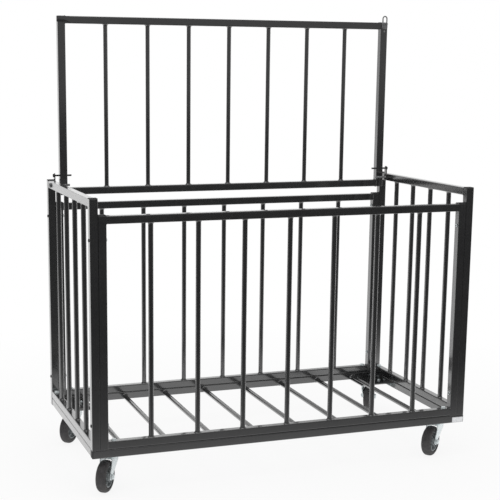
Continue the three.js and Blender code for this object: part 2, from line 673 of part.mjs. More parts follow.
// Ring turned about the axle, which lies along X through the origin
function turnedRing(points) {
  const closed = [...points, points[0]];
  const outline = closed.map(([radius, across]) => new THREE.Vector2(radius, across));
  return new THREE.LatheGeometry(outline, WHEEL_FACETS).rotateZ(-Math.PI / 2);
}

function casterTyre() {
  const half = TYRE_WIDTH / 2;
  const bead = WHEEL_RADIUS - TYRE_THICKNESS;
  const shoulder = WHEEL_RADIUS - TREAD_CORNER;
  const chamfer = TREAD_CORNER * (1 - Math.SQRT1_2);
  return turnedRing([
    [bead, -half],
    [shoulder, -half],
    [WHEEL_RADIUS - chamfer, -half + chamfer],
    [WHEEL_RADIUS, -half + TREAD_CORNER],
    [WHEEL_RADIUS, half - TREAD_CORNER],
    [WHEEL_RADIUS - chamfer, half - chamfer],
    [shoulder, half],
    [bead, half],
  ]);
}

function casterWheelCore() {
  const rim = WHEEL_RADIUS - TYRE_THICKNESS - SEAT_GAP;
  const rimInner = rim - RIM_THICKNESS;
  const half = RIM_WIDTH / 2;
  const web = WEB_THICKNESS / 2;
  const hub = HUB_DIAMETER / 2;
  const hubHalf = FORK_INNER / 2 - HUB_SIDE_GAP;
  const bore = AXLE_DIAMETER / 2 + RUNNING_GAP;
  return turnedRing([
    [bore, -hubHalf],
    [hub, -hubHalf],
    [hub, -web],
    [rimInner, -web],
    [rimInner, -half],
    [rim, -half],
    [rim, half],
    [rimInner, half],
    [rimInner, web],
    [hub, web],
    [hub, hubHalf],
    [bore, hubHalf],
  ]);
}

function addCaster({ place, side, end, heading }) {
  const turn = (-heading * Math.PI) / 180;
  const x = side * (HALF_WIDTH - CASTER_FROM_SIDE);
  const y = end * (HALF_DEPTH - CASTER_FROM_FRONT);
  const onSwivel = (geometry) => geometry.rotateZ(turn).translate(x, y, 0);
  const onAxle = (geometry) => onSwivel(geometry.translate(0, -CASTER_TRAIL, WHEEL_RADIUS));
  const legOuter = FORK_INNER / 2 + FORK_SHEET;
  const axleLength = 2 * legOuter + AXLE_HEAD_HEIGHT + AXLE_TAIL;
  const bolt = geometryOf(hexBolt(AXLE_HEAD_FLATS, AXLE_HEAD_HEIGHT, AXLE_DIAMETER, axleLength));
  bolt.rotateY(-Math.PI / 2).translate(-legOuter, 0, 0);
  const nut = hexPrism(AXLE_HEAD_FLATS, AXLE_HEAD_HEIGHT, AXLE_DIAMETER + HOLE_CLEARANCE);
  nut.rotateY(Math.PI / 2).translate(legOuter, 0, 0);
  addPiece(`caster_plate_${place}`, geometryOf(casterPlate()).translate(x, y, 0), zincPlate);
  addPiece(`caster_fork_${place}`, onSwivel(geometryOf(casterFork())), zincPlate);
  addPiece(`caster_tyre_${place}`, onAxle(geometryOf(solidOf(casterTyre()))), tyreRubber);
  addPiece(`caster_wheel_${place}`, onAxle(geometryOf(solidOf(casterWheelCore()))), wheelCore);
  addPiece(`axle_bolt_${place}`, onAxle(bolt), zincPlate);
  addPiece(`axle_nut_${place}`, onAxle(geometryOf(solidOf(nut))), zincPlate);
}

// Assembly
addPiece('base_frame', geometryOf(baseFrame()), blackPowderCoat);
addPiece('left_side_panel', geometryOf(sidePanel(-1)), blackPowderCoat);
addPiece('right_side_panel', geometryOf(sidePanel(1)), blackPowderCoat);
addPiece('front_panel', geometryOf(frontPanel()), blackPowderCoat);
addPiece('back_panel', geometryOf(backPanel()), blackPowderCoat);
addPiece('lid', geometryOf(lidFrame()), blackPowderCoat);
addPiece('padlock_eye', geometryOf(padlockEye()), zincPlate);
addHingeBolts();
addCornerBolts();
addBaseBolts();
for (const caster of CASTERS) {
  addCaster(caster);
}

export default bin;
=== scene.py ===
# %% [markdown]
# # A rolling barred bin, piece by piece
# The bin is a cage of black square tube and round bar on four swivel casters, with a barred lid behind.
# On the real one each panel is welded up flat on a bench and then bolted to its neighbours,
# so each panel is made here as one piece with its own tubes, bars and weld beads.
# Sizes are in millimetres and become metres when a mesh is made.

# %% Load the solids and keep their box
import math
import bmesh
import bpy
import numpy as np
from mathutils import Matrix, Vector


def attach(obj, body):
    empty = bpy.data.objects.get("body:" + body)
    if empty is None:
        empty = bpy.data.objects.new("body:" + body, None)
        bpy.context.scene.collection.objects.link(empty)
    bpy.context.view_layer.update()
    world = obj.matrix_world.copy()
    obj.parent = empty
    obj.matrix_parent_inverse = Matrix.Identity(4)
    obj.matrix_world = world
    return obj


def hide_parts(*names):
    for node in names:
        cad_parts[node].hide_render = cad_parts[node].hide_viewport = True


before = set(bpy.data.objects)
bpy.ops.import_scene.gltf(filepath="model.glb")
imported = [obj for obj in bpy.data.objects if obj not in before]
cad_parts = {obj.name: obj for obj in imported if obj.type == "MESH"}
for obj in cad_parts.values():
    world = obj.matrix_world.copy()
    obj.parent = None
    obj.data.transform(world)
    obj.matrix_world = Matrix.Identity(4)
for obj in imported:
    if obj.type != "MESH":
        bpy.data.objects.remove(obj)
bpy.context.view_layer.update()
scene = bpy.context.scene
MM = 0.001
X, Y, Z = 0, 1, 2
ORIGIN = (0, 0, 0)

# %% [markdown]
# Nearly every part of the cage is one of two shop shapes: rings of points stacked along an axis,
# as a lathe or a drawn bar gives, or an outline pushed straight along an axis, as a tube or a cut plate is.
# Each is a grid of points, row after row, so whole arrays are worked out at once.

# %% Rings and turned profiles
def full_turn(count):
    """Angles set evenly round a full circle."""
    return np.linspace(0.0, 2 * np.pi, count, endpoint=False)


def spoke(turn):
    """Arrow of length one at each angle: its cosine and its sine."""
    return np.stack([np.cos(turn), np.sin(turn)], -1)


def skin(points, loop=False, caps=False):
    """One grid of points whose rows are closed rings.

    Loop joins the last row to the first, and caps close both ends.
    """
    return {"points": points, "loop": loop, "caps": caps}


def set_out(flat, along, axis, centre):
    """Flat points carried along an axis: their two numbers count along the two axes that follow it."""
    points = np.zeros(flat.shape[:2] + (3,)) + np.asarray(centre, float)
    points[..., axis] += along
    points[..., (axis + 1) % 3] += flat[..., 0]
    points[..., (axis + 2) % 3] += flat[..., 1]
    return points


def rings(along, radius, axis, centre, loop=False, caps=False):
    """Each row lies at its own distance along the axis.

    Each of its points goes out by its radius times the cosine and the sine of its turn.
    """
    radius = np.asarray(radius, float)
    flat = radius[..., None] * spoke(full_turn(radius.shape[1]))
    return skin(set_out(flat, np.asarray(along, float)[:, None], axis, centre), loop, caps)


def turned(profile, axis, centre, side=1, columns=40, loop=False):
    """A profile of (distance along, radius) pairs turned round an axis; side flips it along the axis."""
    along, radius = np.asarray(profile, float).T
    return rings(side * along, np.repeat(radius[:, None], columns, 1), axis, centre, loop)


# %% Outlines pushed along an axis
FLAT_START = 1.0
LEAD_SHARE = 0.4
ARC_POINTS = 5
EASE_POINTS = 4


def plate_outline(width, height, corner):
    """A rectangle with quarter-circle corners: each corner's middle plus a circle of the corner radius.

    A point on the straight side next to each quarter circle keeps the flat sides shaded flat.
    """
    reach = np.array([width / 2 - corner, height / 2 - corner])
    lead = min(FLAT_START, LEAD_SHARE * reach.min())
    sweep = np.hstack([[0.0], np.linspace(0.0, np.pi / 2, ARC_POINTS), [np.pi / 2]])
    ahead = np.hstack([[-lead], np.zeros(ARC_POINTS), [lead]])
    quarter = np.repeat(np.arange(4) * np.pi / 2, len(sweep))
    turn = np.tile(sweep, 4) + quarter
    middle = reach * np.sign(spoke(quarter + np.pi / 4))
    return middle + corner * spoke(turn) + np.tile(ahead, 4)[:, None] * spoke(turn + np.pi / 2)


def outward(outline):
    """Unit normal at each point: the line between its neighbours, turned a quarter to the right."""
    tangent = np.roll(outline, -1, 0) - np.roll(outline, 1, 0)
    normal = np.stack([tangent[:, 1], -tangent[:, 0]], -1)
    return normal / np.linalg.norm(normal, axis=1, keepdims=True)


def pushed(outline, axis, low, high, centre, ease=0.0):
    """An outline pushed along an axis, drawn in by a quarter circle of the ease at both ends.

    A ring just past each eased end keeps the long faces between them shaded flat.
    """
    turn = np.linspace(0.0, np.pi / 2, EASE_POINTS if ease else 1)
    inset = ease * (1 - np.sin(turn))
    step = ease * (1 - np.cos(turn))
    hold = ease + min(FLAT_START, (high - low - 2 * ease) / 4)
    along = np.hstack([low + step, [low + hold, high - hold], (high - step)[::-1]])
    inset = np.hstack([inset, [0.0, 0.0], inset[::-1]])
    flat = outline - inset[:, None, None] * outward(outline)
    return skin(set_out(flat, along[:, None], axis, centre), caps=True)


# %% [markdown]
# A piece is made by putting its grids into one mesh. Poles and seams are merged, faces are turned outward,
# and edges sharper than a set angle stay crisp while the rest is shaded smooth.
# The piece then rides the body that carries it and takes the place of its plain solid.

# %% Grids into a mesh
SHARP_ANGLE = math.radians(38)
MERGE = 1e-7


def grid_faces(rows, columns, loop, first):
    """Four-cornered faces between each row and the next, counted from the first point's number."""
    row, column = np.meshgrid(np.arange(rows if loop else rows - 1), np.arange(columns), indexing="ij")
    next_row = (row + 1) % rows
    next_column = (column + 1) % columns
    corners = [(row, column), (row, next_column), (next_row, next_column), (next_row, column)]
    return first + np.stack([r * columns + c for r, c in corners], -1).reshape(-1, 4)


def make_piece(name, skins, finish, body, node=None):
    """Joins the grids of one piece in a mesh, closes and smooths it, and sets it on its body."""
    points = np.concatenate([part["points"].reshape(-1, 3) for part in skins]) * MM
    faces = []
    first = 0
    for part in skins:
        rows, columns = part["points"].shape[:2]
        faces += grid_faces(rows, columns, part["loop"], first).tolist()
        if part["caps"]:
            faces.append(list(range(first, first + columns)))
            faces.append(list(range(first + (rows - 1) * columns, first + rows * columns)))
        first += rows * columns
    mesh = bpy.data.meshes.new(name)
    mesh.from_pydata(points, [], faces)
    work = bmesh.new()
    work.from_mesh(mesh)
    bmesh.ops.remove_doubles(work, verts=work.verts, dist=MERGE)
    bmesh.ops.recalc_face_normals(work, faces=work.faces)
    work.to_mesh(mesh)
    work.free()
    mesh.polygons.foreach_set("use_smooth", np.ones(len(mesh.polygons), bool))
    mesh.set_sharp_from_angle(angle=SHARP_ANGLE)
    mesh.materials.append(finish)
    piece = bpy.data.objects.new(name, mesh)
    scene.collection.objects.link(piece)
    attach(piece, body)
    if node:
        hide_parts(node)
    print(f"{name}: {len(mesh.polygons)} faces on {body}")


# %% [markdown]
# The black of the cage is powder coat: dry paint dust baked on, with a fine orange-peel skin and a gloss.
# The casters, nuts and padlock eye are zinc plated, which is a bright, slightly clouded grey.
# Each finish lays its patterns on the piece's own coordinates, so they keep their real size in metres.

# %% Patterns for finishes
SHADE_SPAN = (0.33, 0.67)
MIX_UNDER, MIX_OVER, MIX_RESULT = 6, 7, 2


def mottle(tree, place, scale, detail=3.0):
    """Cloudy pattern with so many features to the metre."""
    node = tree.nodes.new("ShaderNodeTexNoise")
    node.inputs["Scale"].default_value = scale
    node.inputs["Detail"].default_value = detail
    tree.links.new(place, node.inputs["Vector"])
    return node.outputs["Fac"]


def stretch(tree, value, start, end):
    """Straight-line change of a value from one range to another, held at both ends."""
    node = tree.nodes.new("ShaderNodeMapRange")
    for socket, level in zip(("From Min", "From Max", "To Min", "To Max"), (*start, *end)):
        node.inputs[socket].default_value = level
    tree.links.new(value, node.inputs["Value"])
    return node.outputs["Result"]


def shades(tree, value, dark, light):
    """Colours from dark to light as a mottle goes from a third to two thirds."""
    node = tree.nodes.new("ShaderNodeValToRGB")
    for element, position, colour in zip(node.color_ramp.elements, SHADE_SPAN, (dark, light)):
        element.position = position
        element.color = (*colour, 1.0)
    tree.links.new(value, node.inputs["Fac"])
    return node.outputs["Color"]


def cover(tree, mask, under, over):
    """One colour laid over another where the mask is high."""
    node = tree.nodes.new("ShaderNodeMix")
    node.data_type = "RGBA"
    tree.links.new(mask, node.inputs[0])
    tree.links.new(under, node.inputs[MIX_UNDER])
    node.inputs[MIX_OVER].default_value = (*over, 1.0)
    return node.outputs[MIX_RESULT]


def dimple(tree, shader, height, strength, depth):
    """Bumps of a given depth in metres on the shader's normal."""
    node = tree.nodes.new("ShaderNodeBump")
    node.inputs["Strength"].default_value = strength
    node.inputs["Distance"].default_value = depth
    tree.links.new(height, node.inputs["Height"])
    tree.links.new(node.outputs["Normal"], shader.inputs["Normal"])


# %% A finish from its patterns
GLOSS_SPAN = (0.3, 0.7)


def make_finish(name, clouds, dark, light, gloss, bumps, worn=None, metal=0.0):
    """A clouded colour with worn spots over it, uneven gloss and fine bumps.

    Every pattern starts with its features to the metre, and clouds, bumps and worn go on with their detail.
    Gloss ends with its least and most roughness, and bumps with their strength and depth in metres.
    Worn ends with where it starts, where it is full, its share there and its colour.
    """
    finish = bpy.data.materials.new(name)
    finish.use_nodes = True
    tree = finish.node_tree
    shader = tree.nodes["Principled BSDF"]
    shader.inputs["Metallic"].default_value = metal
    place = tree.nodes.new("ShaderNodeTexCoord").outputs["Object"]
    colour = shades(tree, mottle(tree, place, *clouds), dark, light)
    if worn:
        scale, detail, start, full, share, tint = worn
        spots = stretch(tree, mottle(tree, place, scale, detail), (start, full), (0.0, share))
        colour = cover(tree, spots, colour, tint)
    tree.links.new(colour, shader.inputs["Base Color"])
    scale, *roughness = gloss
    roughness = stretch(tree, mottle(tree, place, scale), GLOSS_SPAN, roughness)
    tree.links.new(roughness, shader.inputs["Roughness"])
    scale, detail, strength, depth = bumps
    dimple(tree, shader, mottle(tree, place, scale, detail), strength, depth)
    print("Finish:", name)
    return finish


# %% Powder coat and blackened bolts
COAT = {"Coat Weight": 1.0, "Coat Roughness": 0.1, "Coat IOR": 2.05, "IOR": 1.65}
powder_coat = make_finish(
    "black_powder_coat", clouds=(7.0, 3.0), dark=(0.007, 0.0072, 0.008), light=(0.012, 0.0122, 0.013),
    gloss=(55.0, 0.18, 0.27), bumps=(700.0, 2.0, 0.22, 0.0004),
    worn=(38.0, 6.0, 0.63, 0.78, 0.5, (0.03, 0.03, 0.031)),
)
for socket, level in COAT.items():
    powder_coat.node_tree.nodes["Principled BSDF"].inputs[socket].default_value = level
black_bolt = make_finish(
    "blackened_bolt", clouds=(160.0, 3.0), dark=(0.02, 0.02, 0.021), light=(0.05, 0.049, 0.048),
    gloss=(420.0, 0.28, 0.48), bumps=(1400.0, 2.0, 0.2, 0.0002),
    metal=0.6,
)

# %% Bright and dull zinc
zinc = make_finish(
    "zinc_plate", clouds=(45.0, 4.0), dark=(0.80, 0.86, 0.87), light=(0.89, 0.95, 0.955),
    gloss=(90.0, 0.24, 0.42), bumps=(900.0, 2.0, 0.15, 0.0003),
    worn=(260.0, 5.0, 0.6, 0.75, 0.6, (0.60, 0.63, 0.63)),
    metal=0.5,
)
dull_zinc = make_finish(
    "dull_zinc", clouds=(80.0, 4.0), dark=(0.26, 0.265, 0.27), light=(0.38, 0.385, 0.385),
    gloss=(150.0, 0.38, 0.55), bumps=(1000.0, 2.0, 0.2, 0.0003),
    metal=0.8,
)

# %% Rubber, nylon, plastic and film
tyre_rubber = make_finish(
    "tyre_rubber", clouds=(60.0, 5.0), dark=(0.037, 0.035, 0.036), light=(0.057, 0.054, 0.055),
    gloss=(130.0, 0.55, 0.8), bumps=(800.0, 3.0, 0.35, 0.0005),
    worn=(24.0, 6.0, 0.55, 0.8, 0.5, (0.085, 0.08, 0.072)),
)
wheel_nylon = make_finish(
    "wheel_nylon", clouds=(70.0, 3.0), dark=(0.18, 0.196, 0.20), light=(0.26, 0.28, 0.285),
    gloss=(200.0, 0.38, 0.55), bumps=(600.0, 2.0, 0.2, 0.0003),
)
plug_plastic = make_finish(
    "plug_plastic", clouds=(120.0, 3.0), dark=(0.012, 0.012, 0.013), light=(0.024, 0.024, 0.025),
    gloss=(300.0, 0.5, 0.68), bumps=(1100.0, 2.0, 0.3, 0.0003),
)
blank_film = make_finish(
    "blank_film", clouds=(90.0, 3.0), dark=(0.72, 0.73, 0.75), light=(0.84, 0.85, 0.86),
    gloss=(250.0, 0.35, 0.55), bumps=(500.0, 2.0, 0.1, 0.0003),
    worn=(420.0, 6.0, 0.55, 0.75, 0.7, (0.5, 0.5, 0.5)),
)

# %% [markdown]
# The panels share a few stock sizes: one-inch square posts and rails, and thick round bar between them.
# A bar's foot carries a concave weld bead that spreads along the rail, and each rail's end has a bead
# round it where it meets the post, ground flush on the cage's outer face.
# A post's open top is closed by a plastic cap that stands a little proud.

# %% Tubes, bars and plugs
POST = 25.4
RAIL = 24.2
BAR = 16.0
TUBE_CORNER = 2.4
FLUSH = 0.6
PLUG = 2.6
PLUG_PLAY = 0.5
PLUG_EASE = 1.2


def tube(size, axis, low, high, centre):
    """Square tube: a square outline with round corners pushed along its length."""
    return pushed(plate_outline(size, size, TUBE_CORNER), axis, low, high, centre, FLUSH)


def bar(axis, low, high, centre, diameter=BAR, columns=28):
    """Round bar: rings of one radius at both ends."""
    return rings([low, high], np.full((2, columns), diameter / 2), axis, centre, caps=True)


def plug(size, axis, end, side, centre):
    """Thin domed cap in a tube's open end: a square outline drawn in by a quarter circle."""
    outline = plate_outline(size - PLUG_PLAY, size - PLUG_PLAY, TUBE_CORNER)
    low, high = sorted((end, end - side * 3 * PLUG))
    return pushed(outline, axis, low, high, centre, PLUG_EASE)


def evenly(count, pitch):
    """So many places at one pitch, set out about the middle."""
    return (np.arange(count) - (count - 1) / 2) * pitch


# %% Weld beads
BEAD_COLUMNS = 40
BEAD_RISE = 6.5
BEAD_SPREAD = 2.2
BEAD_RUN = 3.4
BEAD_SINK = 0.1
BEAD_RIPPLE = 0.14
BEAD_RIPPLES = 9
SEAM = 1.7
SEAM_POINTS = 96
SEAM_COLUMNS = 10
SEAM_RIPPLE = 0.16
RIPPLE_LENGTH = 3.2
DRESSED_SHARE = 0.95


def bar_weld(axis, foot, side, centre, rail_turn, diameter=BAR):
    """Bead round a bar's foot: its radius falls to the bar's along a quarter circle.

    It spreads most along the rail, and ripples run round it.
    """
    turn = full_turn(BEAD_COLUMNS)
    rise = np.array([-0.2, 0.0, 0.1, 0.25, 0.5, 0.75, 1.0])
    flare = 1 - np.sqrt(1 - (1 - np.clip(rise, 0.0, 1.0)) ** 2)
    reach = BEAD_SPREAD + BEAD_RUN * np.cos(turn - rail_turn) ** 2
    ripple = 1 + BEAD_RIPPLE * np.sin(BEAD_RIPPLES * turn + foot + np.sum(centre))
    radius = diameter / 2 - BEAD_SINK + flare[:, None] * reach * ripple
    return rings(foot + side * BEAD_RISE * rise, radius, axis, centre, caps=True)


def seam_weld(outline, axis, level, centre, bead=SEAM, dressed=(0, 0)):
    """Bead round a tube's end: a small circle carried round the outline in even ripples.

    Where the outline faces its dressed side, the bead is ground down.
    """
    closed = np.vstack([outline, outline[:1]])
    run = np.hstack([[0.0], np.cumsum(np.linalg.norm(np.diff(closed, axis=0), axis=1))])
    even = np.linspace(0.0, run[-1], SEAM_POINTS, endpoint=False)
    path = np.stack([np.interp(even, run, closed[:, part]) for part in (0, 1)], -1)
    ripples = round(run[-1] / RIPPLE_LENGTH)
    size = bead * (1 + SEAM_RIPPLE * np.sin(2 * np.pi * ripples * even / run[-1]))
    size *= 1 - DRESSED_SHARE * np.clip(outward(path) @ np.array(dressed), 0.0, 1.0)
    circle = size[:, None, None] * spoke(full_turn(SEAM_COLUMNS))
    flat = path[:, None] + circle[..., :1] * outward(path)[:, None]
    return skin(set_out(flat, level + circle[..., 1], axis, centre), loop=True)


def welded_bar(low_rail, high_rail, spot, rail_turn, diameter=BAR):
    """Upright bar between the middles of two rails, with a bead at both feet."""
    return [
        bar(Z, low_rail, high_rail, spot, diameter),
        bar_weld(Z, low_rail + RAIL / 2, 1, spot, rail_turn, diameter),
        bar_weld(Z, high_rail - RAIL / 2, -1, spot, rail_turn, diameter),
    ]


def welded_tube(size, axis, reach, centre, dressed=(0, 0)):
    """Tube between the middles of two posts, with a bead round it where it butts on each of them."""
    outline = plate_outline(size, size, TUBE_CORNER)
    butt = reach - POST / 2
    beads = [seam_weld(outline, axis, end * butt, centre, dressed=dressed) for end in (-1, 1)]
    return [tube(size, axis, -reach, reach, centre), *beads]


def barred_panel(across, rail_line, post_line, reach, rails, posts, places, diameter=BAR, dressed=(0, 0)):
    """Two rails butted between two posts, with bars from rail to rail at their places.

    The panel runs across along X or Y, and a line is a place on the other of these axes.
    """
    def spot(place, line, level):
        """Point of the panel in X, Y and Z."""
        return (place, line, level) if across == X else (line, place, level)

    rail_turn = 0.0 if across == X else np.pi / 2
    parts = []
    for level in rails:
        parts += welded_tube(RAIL, across, reach, spot(0, rail_line, level), dressed)
    for end in (-1, 1):
        parts.append(tube(POST, Z, *posts, spot(end * reach, post_line, 0)))
    for place in places:
        parts += welded_bar(*rails, spot(place, rail_line, 0), rail_turn, diameter)
    return parts


# %% [markdown]
# A side panel has two tall posts, two rails and four bars. Its top rail carries the upright ear
# that the lid hangs on: a strap with a round head, welded on by its foot.
# Tubes and bars run into each other here, as the solids do, and the beads cover where they meet.

# %% Side panels
HALF_WIDTH = 635.0
HALF_DEPTH = 317.5
BASE_LOW = 118.0
BASE_TUBE = 25.4
BASE_TOP = BASE_LOW + BASE_TUBE
SIDE_TOP = 904.8
SIDE_BARS = 4
POST_Y = HALF_DEPTH - POST / 2
SIDE_POST_X = HALF_WIDTH - POST / 2
RAIL_INSET = FLUSH + RAIL / 2
LOW_RAIL_Z = BASE_TOP + RAIL_INSET
SIDE_RAIL_Z = SIDE_TOP - PLUG - RAIL / 2
SIDE_PLACES = evenly(SIDE_BARS, 2 * POST_Y / (SIDE_BARS + 1))
PIVOT_Y = 265.7
PIVOT_Z = 921.5
EAR_X = 618.0
EAR_THICK = 3.0
EAR_HALF = 8.0
EAR_SINK = 5.0
PLATE_EASE = 0.5
SIDES = {"left": -1, "right": 1}


def ear_outline():
    """Strap in Y and Z: straight sides up from the rail and a half circle about the pivot."""
    head = EAR_HALF * spoke(np.linspace(0.0, np.pi, num=17))
    foot_z = SIDE_TOP - PIVOT_Z - EAR_SINK
    return np.vstack([[(-EAR_HALF, foot_z), (EAR_HALF, foot_z)], head]) + [PIVOT_Y, PIVOT_Z]


for name, side in SIDES.items():
    rail_x = side * (HALF_WIDTH - RAIL_INSET)
    post_x = side * SIDE_POST_X
    rails = (LOW_RAIL_Z, SIDE_RAIL_Z)
    posts = (BASE_TOP, SIDE_TOP - PLUG)
    ear_spot = (side * EAR_X, PIVOT_Y, SIDE_RAIL_Z + RAIL / 2)
    parts = barred_panel(Y, rail_x, post_x, POST_Y, rails, posts, SIDE_PLACES, dressed=(0, side))
    parts += [
        pushed(ear_outline(), X, -EAR_THICK / 2, EAR_THICK / 2, (side * EAR_X, 0, 0), PLATE_EASE),
        seam_weld(plate_outline(EAR_THICK, 2 * EAR_HALF, PLATE_EASE), Z, 0.0, ear_spot, bead=1.3),
    ]
    plugs = [plug(POST, Z, SIDE_TOP, 1, (post_x, end * POST_Y, 0)) for end in (-1, 1)]
    make_piece(f"{name}_side_weldment", parts, powder_coat, "cage", f"{name}_side_panel")
    make_piece(f"{name}_post_plugs", plugs, plug_plastic, "cage")

# %% [markdown]
# The front and back panels are alike but for their height: the front is higher, as the lid lands on it.
# Behind its left post is a thick rest plate and behind its right post a thin hasp plate with a hole,
# which the lid's padlock eye comes down over. Both sit below the rail's top, so they hide from the front.

# %% Plate with a hole
HOLE_RAYS = 48
HOLE_EASE = 0.4
LEAST_SLOPE = 1e-9


def pierced_plate(low_corner, high_corner, hole, hole_radius, low, high):
    """Plate with a round hole: rays from the hole's middle meet the plate's edges or the hole's circle.

    Both faces are drawn back by a small ease at every edge.
    """
    east, north = np.subtract(high_corner, hole)
    west, south = np.subtract(hole, low_corner)
    corner_turn = np.arctan2([north, north, -south, -south], [east, -west, -west, east])
    turn = np.unique(np.hstack([np.linspace(-np.pi, np.pi, HOLE_RAYS, endpoint=False), corner_turn]))
    across = np.where(np.cos(turn) > 0, east, west) / np.maximum(np.abs(np.cos(turn)), LEAST_SLOPE)
    along = np.where(np.sin(turn) > 0, north, south) / np.maximum(np.abs(np.sin(turn)), LEAST_SLOPE)
    edge = np.minimum(across, along)
    rim = np.full(len(turn), hole_radius)
    drawn_edge = edge - HOLE_EASE
    drawn_rim = rim + HOLE_EASE
    radius = np.array([drawn_edge, edge, edge, drawn_edge, drawn_rim, rim, rim, drawn_rim])
    level = np.array([low, low + HOLE_EASE, high - HOLE_EASE, high])
    height = np.hstack([level, level[::-1]])
    return skin(set_out(radius[..., None] * spoke(turn), height[:, None], Z, (*hole, 0)), loop=True)


# %% Front and back panels
FRONT_TOP = 855.0
BACK_TOP = 828.0
END_BARS = 7
END_POST_X = HALF_WIDTH - 1.5 * POST
END_PITCH = 2 * END_POST_X / (END_BARS + 1)
END_PLACES = evenly(END_BARS, END_PITCH)
LANDING_IN = 576.2
LANDING_OUT = 607.6
LANDING_FRONT = -293.1
LANDING_BACK = -240.1
LANDING_OUTLINE = plate_outline(LANDING_OUT - LANDING_IN, LANDING_BACK - LANDING_FRONT, 1.5)
REST_LOW = 838.4
REST_TOP = 842.4
HASP_LOW = 833.9
HASP_TOP = 836.9
HASP_HOLE = 4.3
HASP_HOLE_SPOT = (588.3, -261.5)
rest_spot = (-(LANDING_IN + LANDING_OUT) / 2, (LANDING_FRONT + LANDING_BACK) / 2, 0)
hasp_corners = ((LANDING_IN, LANDING_FRONT), (LANDING_OUT, LANDING_BACK))
landings = [
    pushed(LANDING_OUTLINE, Z, REST_LOW, REST_TOP, rest_spot, PLATE_EASE),
    pierced_plate(*hasp_corners, HASP_HOLE_SPOT, HASP_HOLE, HASP_LOW, HASP_TOP),
]
for name, end, top, extras in (("front", -1, FRONT_TOP, landings), ("back", 1, BACK_TOP, [])):
    rail_y = end * (HALF_DEPTH - RAIL_INSET)
    post_y = end * POST_Y
    rails = (LOW_RAIL_Z, top - PLUG - RAIL / 2)
    posts = (BASE_TOP, top - PLUG)
    parts = barred_panel(X, rail_y, post_y, END_POST_X, rails, posts, END_PLACES, dressed=(end, 0))
    plugs = [plug(POST, Z, top, 1, (side * END_POST_X, post_y, 0)) for side in (-1, 1)]
    make_piece(f"{name}_weldment", parts + extras, powder_coat, "cage", f"{name}_panel")
    make_piece(f"{name}_post_plugs", plugs, plug_plastic, "cage")

# %% [markdown]
# The base is a flat frame: two long tubes, two short ones butted between them, and eight round rods
# that make the cage's floor. A square plate fills the underside of each corner for a caster to bolt to.
# Only the long front tube has caps in its ends.

# %% Base frame
SHORT_TUBE = BASE_TUBE - 2 * FLUSH
BASE_Z = BASE_LOW + BASE_TUBE / 2
ROD_FOOT = POST_Y - BASE_TUBE / 2
FLOOR_RODS = END_BARS + 1
ROD_Z = BASE_Z - 3.0
CORNER_SIZE = 112.3
CORNER_THICK = 4.0
CORNER_OUTLINE = plate_outline(CORNER_SIZE, CORNER_SIZE, 3.0)
CORNER_EASE = 0.4
CORNER_X = SIDE_POST_X - CORNER_SIZE / 2
CORNER_Y = POST_Y - CORNER_SIZE / 2
CORNER_LOW = BASE_LOW + FLUSH
CORNER_TOP = CORNER_LOW + CORNER_THICK
front_spot = (0, -POST_Y, BASE_Z)
plugs = [plug(BASE_TUBE, X, side * HALF_WIDTH, side, front_spot) for side in (-1, 1)]
parts = []
for end, reach in ((-1, HALF_WIDTH - PLUG), (1, HALF_WIDTH)):
    parts.append(tube(BASE_TUBE, X, -reach, reach, (0, end * POST_Y, BASE_Z)))
    for side in (-1, 1):
        corner = (side * CORNER_X, end * CORNER_Y, 0)
        parts.append(pushed(CORNER_OUTLINE, Z, CORNER_LOW, CORNER_TOP, corner, CORNER_EASE))
for side in (-1, 1):
    parts += welded_tube(SHORT_TUBE, Y, POST_Y, (side * SIDE_POST_X, 0, BASE_Z), (0, side))
for place_x in evenly(FLOOR_RODS, END_PITCH):
    spot = (place_x, 0, ROD_Z)
    parts.append(bar(Y, -POST_Y, POST_Y, spot))
    for end in (-1, 1):
        parts.append(bar_weld(Y, end * ROD_FOOT, -end, spot, np.pi / 2))
make_piece("base_weldment", parts, powder_coat, "cage", "base_frame")
make_piece("base_plugs", plugs, plug_plastic, "cage")

# %% [markdown]
# The lid is one more barred frame, hung on two bolts near its tail so that it stands up behind the cage.
# Its left front corner has a flat pad that lands on the rest plate, its right one the padlock eye.
# It is drawn standing open, which is where its solid is at rest.

# %% Lid
LID_X = 588.3
LID_Y = 268.7
LID_LOW = 855.8
LID_TOP = 1444.4
LID_PLUG = 1.2
LID_BARS = 7
LID_BAR = 14.5
LID_PITCH = 146.0
LID_FRONT = LID_Y - POST / 2
PAD_MIDDLE = (-582.75, 0, 1433.7)
PAD_OUTLINE = plate_outline(19.0, 43.5, 1.2)
PAD_THICK = 3.0
PAD_SINK = 1.0
rails = (LID_LOW + RAIL_INSET, LID_TOP - RAIL_INSET)
posts = (LID_LOW + LID_PLUG, LID_TOP - LID_PLUG)
parts = barred_panel(X, LID_Y, LID_Y, LID_X, rails, posts, evenly(LID_BARS, LID_PITCH), LID_BAR)
plugs = []
for side in (-1, 1):
    plugs.append(plug(POST, Z, LID_TOP, 1, (side * LID_X, LID_Y, 0)))
    plugs.append(plug(POST, Z, LID_LOW, -1, (side * LID_X, LID_Y, 0)))
parts.append(pushed(PAD_OUTLINE, Y, LID_FRONT - PAD_THICK, LID_FRONT + PAD_SINK, PAD_MIDDLE, PLATE_EASE))
make_piece("lid_weldment", parts, powder_coat, "lid", "lid")
make_piece("lid_plugs", plugs, plug_plastic, "lid")

# %% [markdown]
# Bolts and nuts are turned or forged to standard sizes. A hexagon is a radius that rises towards
# its corners, cut back by a cone at the chamfered end. A thread is a radius that dips in a triangle wave,
# led once round for every pitch, so it winds like a real one.

# %% Heads and nuts
HEX_COLUMNS = 48
CONE_TOP = 0.47
CONE_SLOPE = 1.73
NUT_LEAD = 0.7


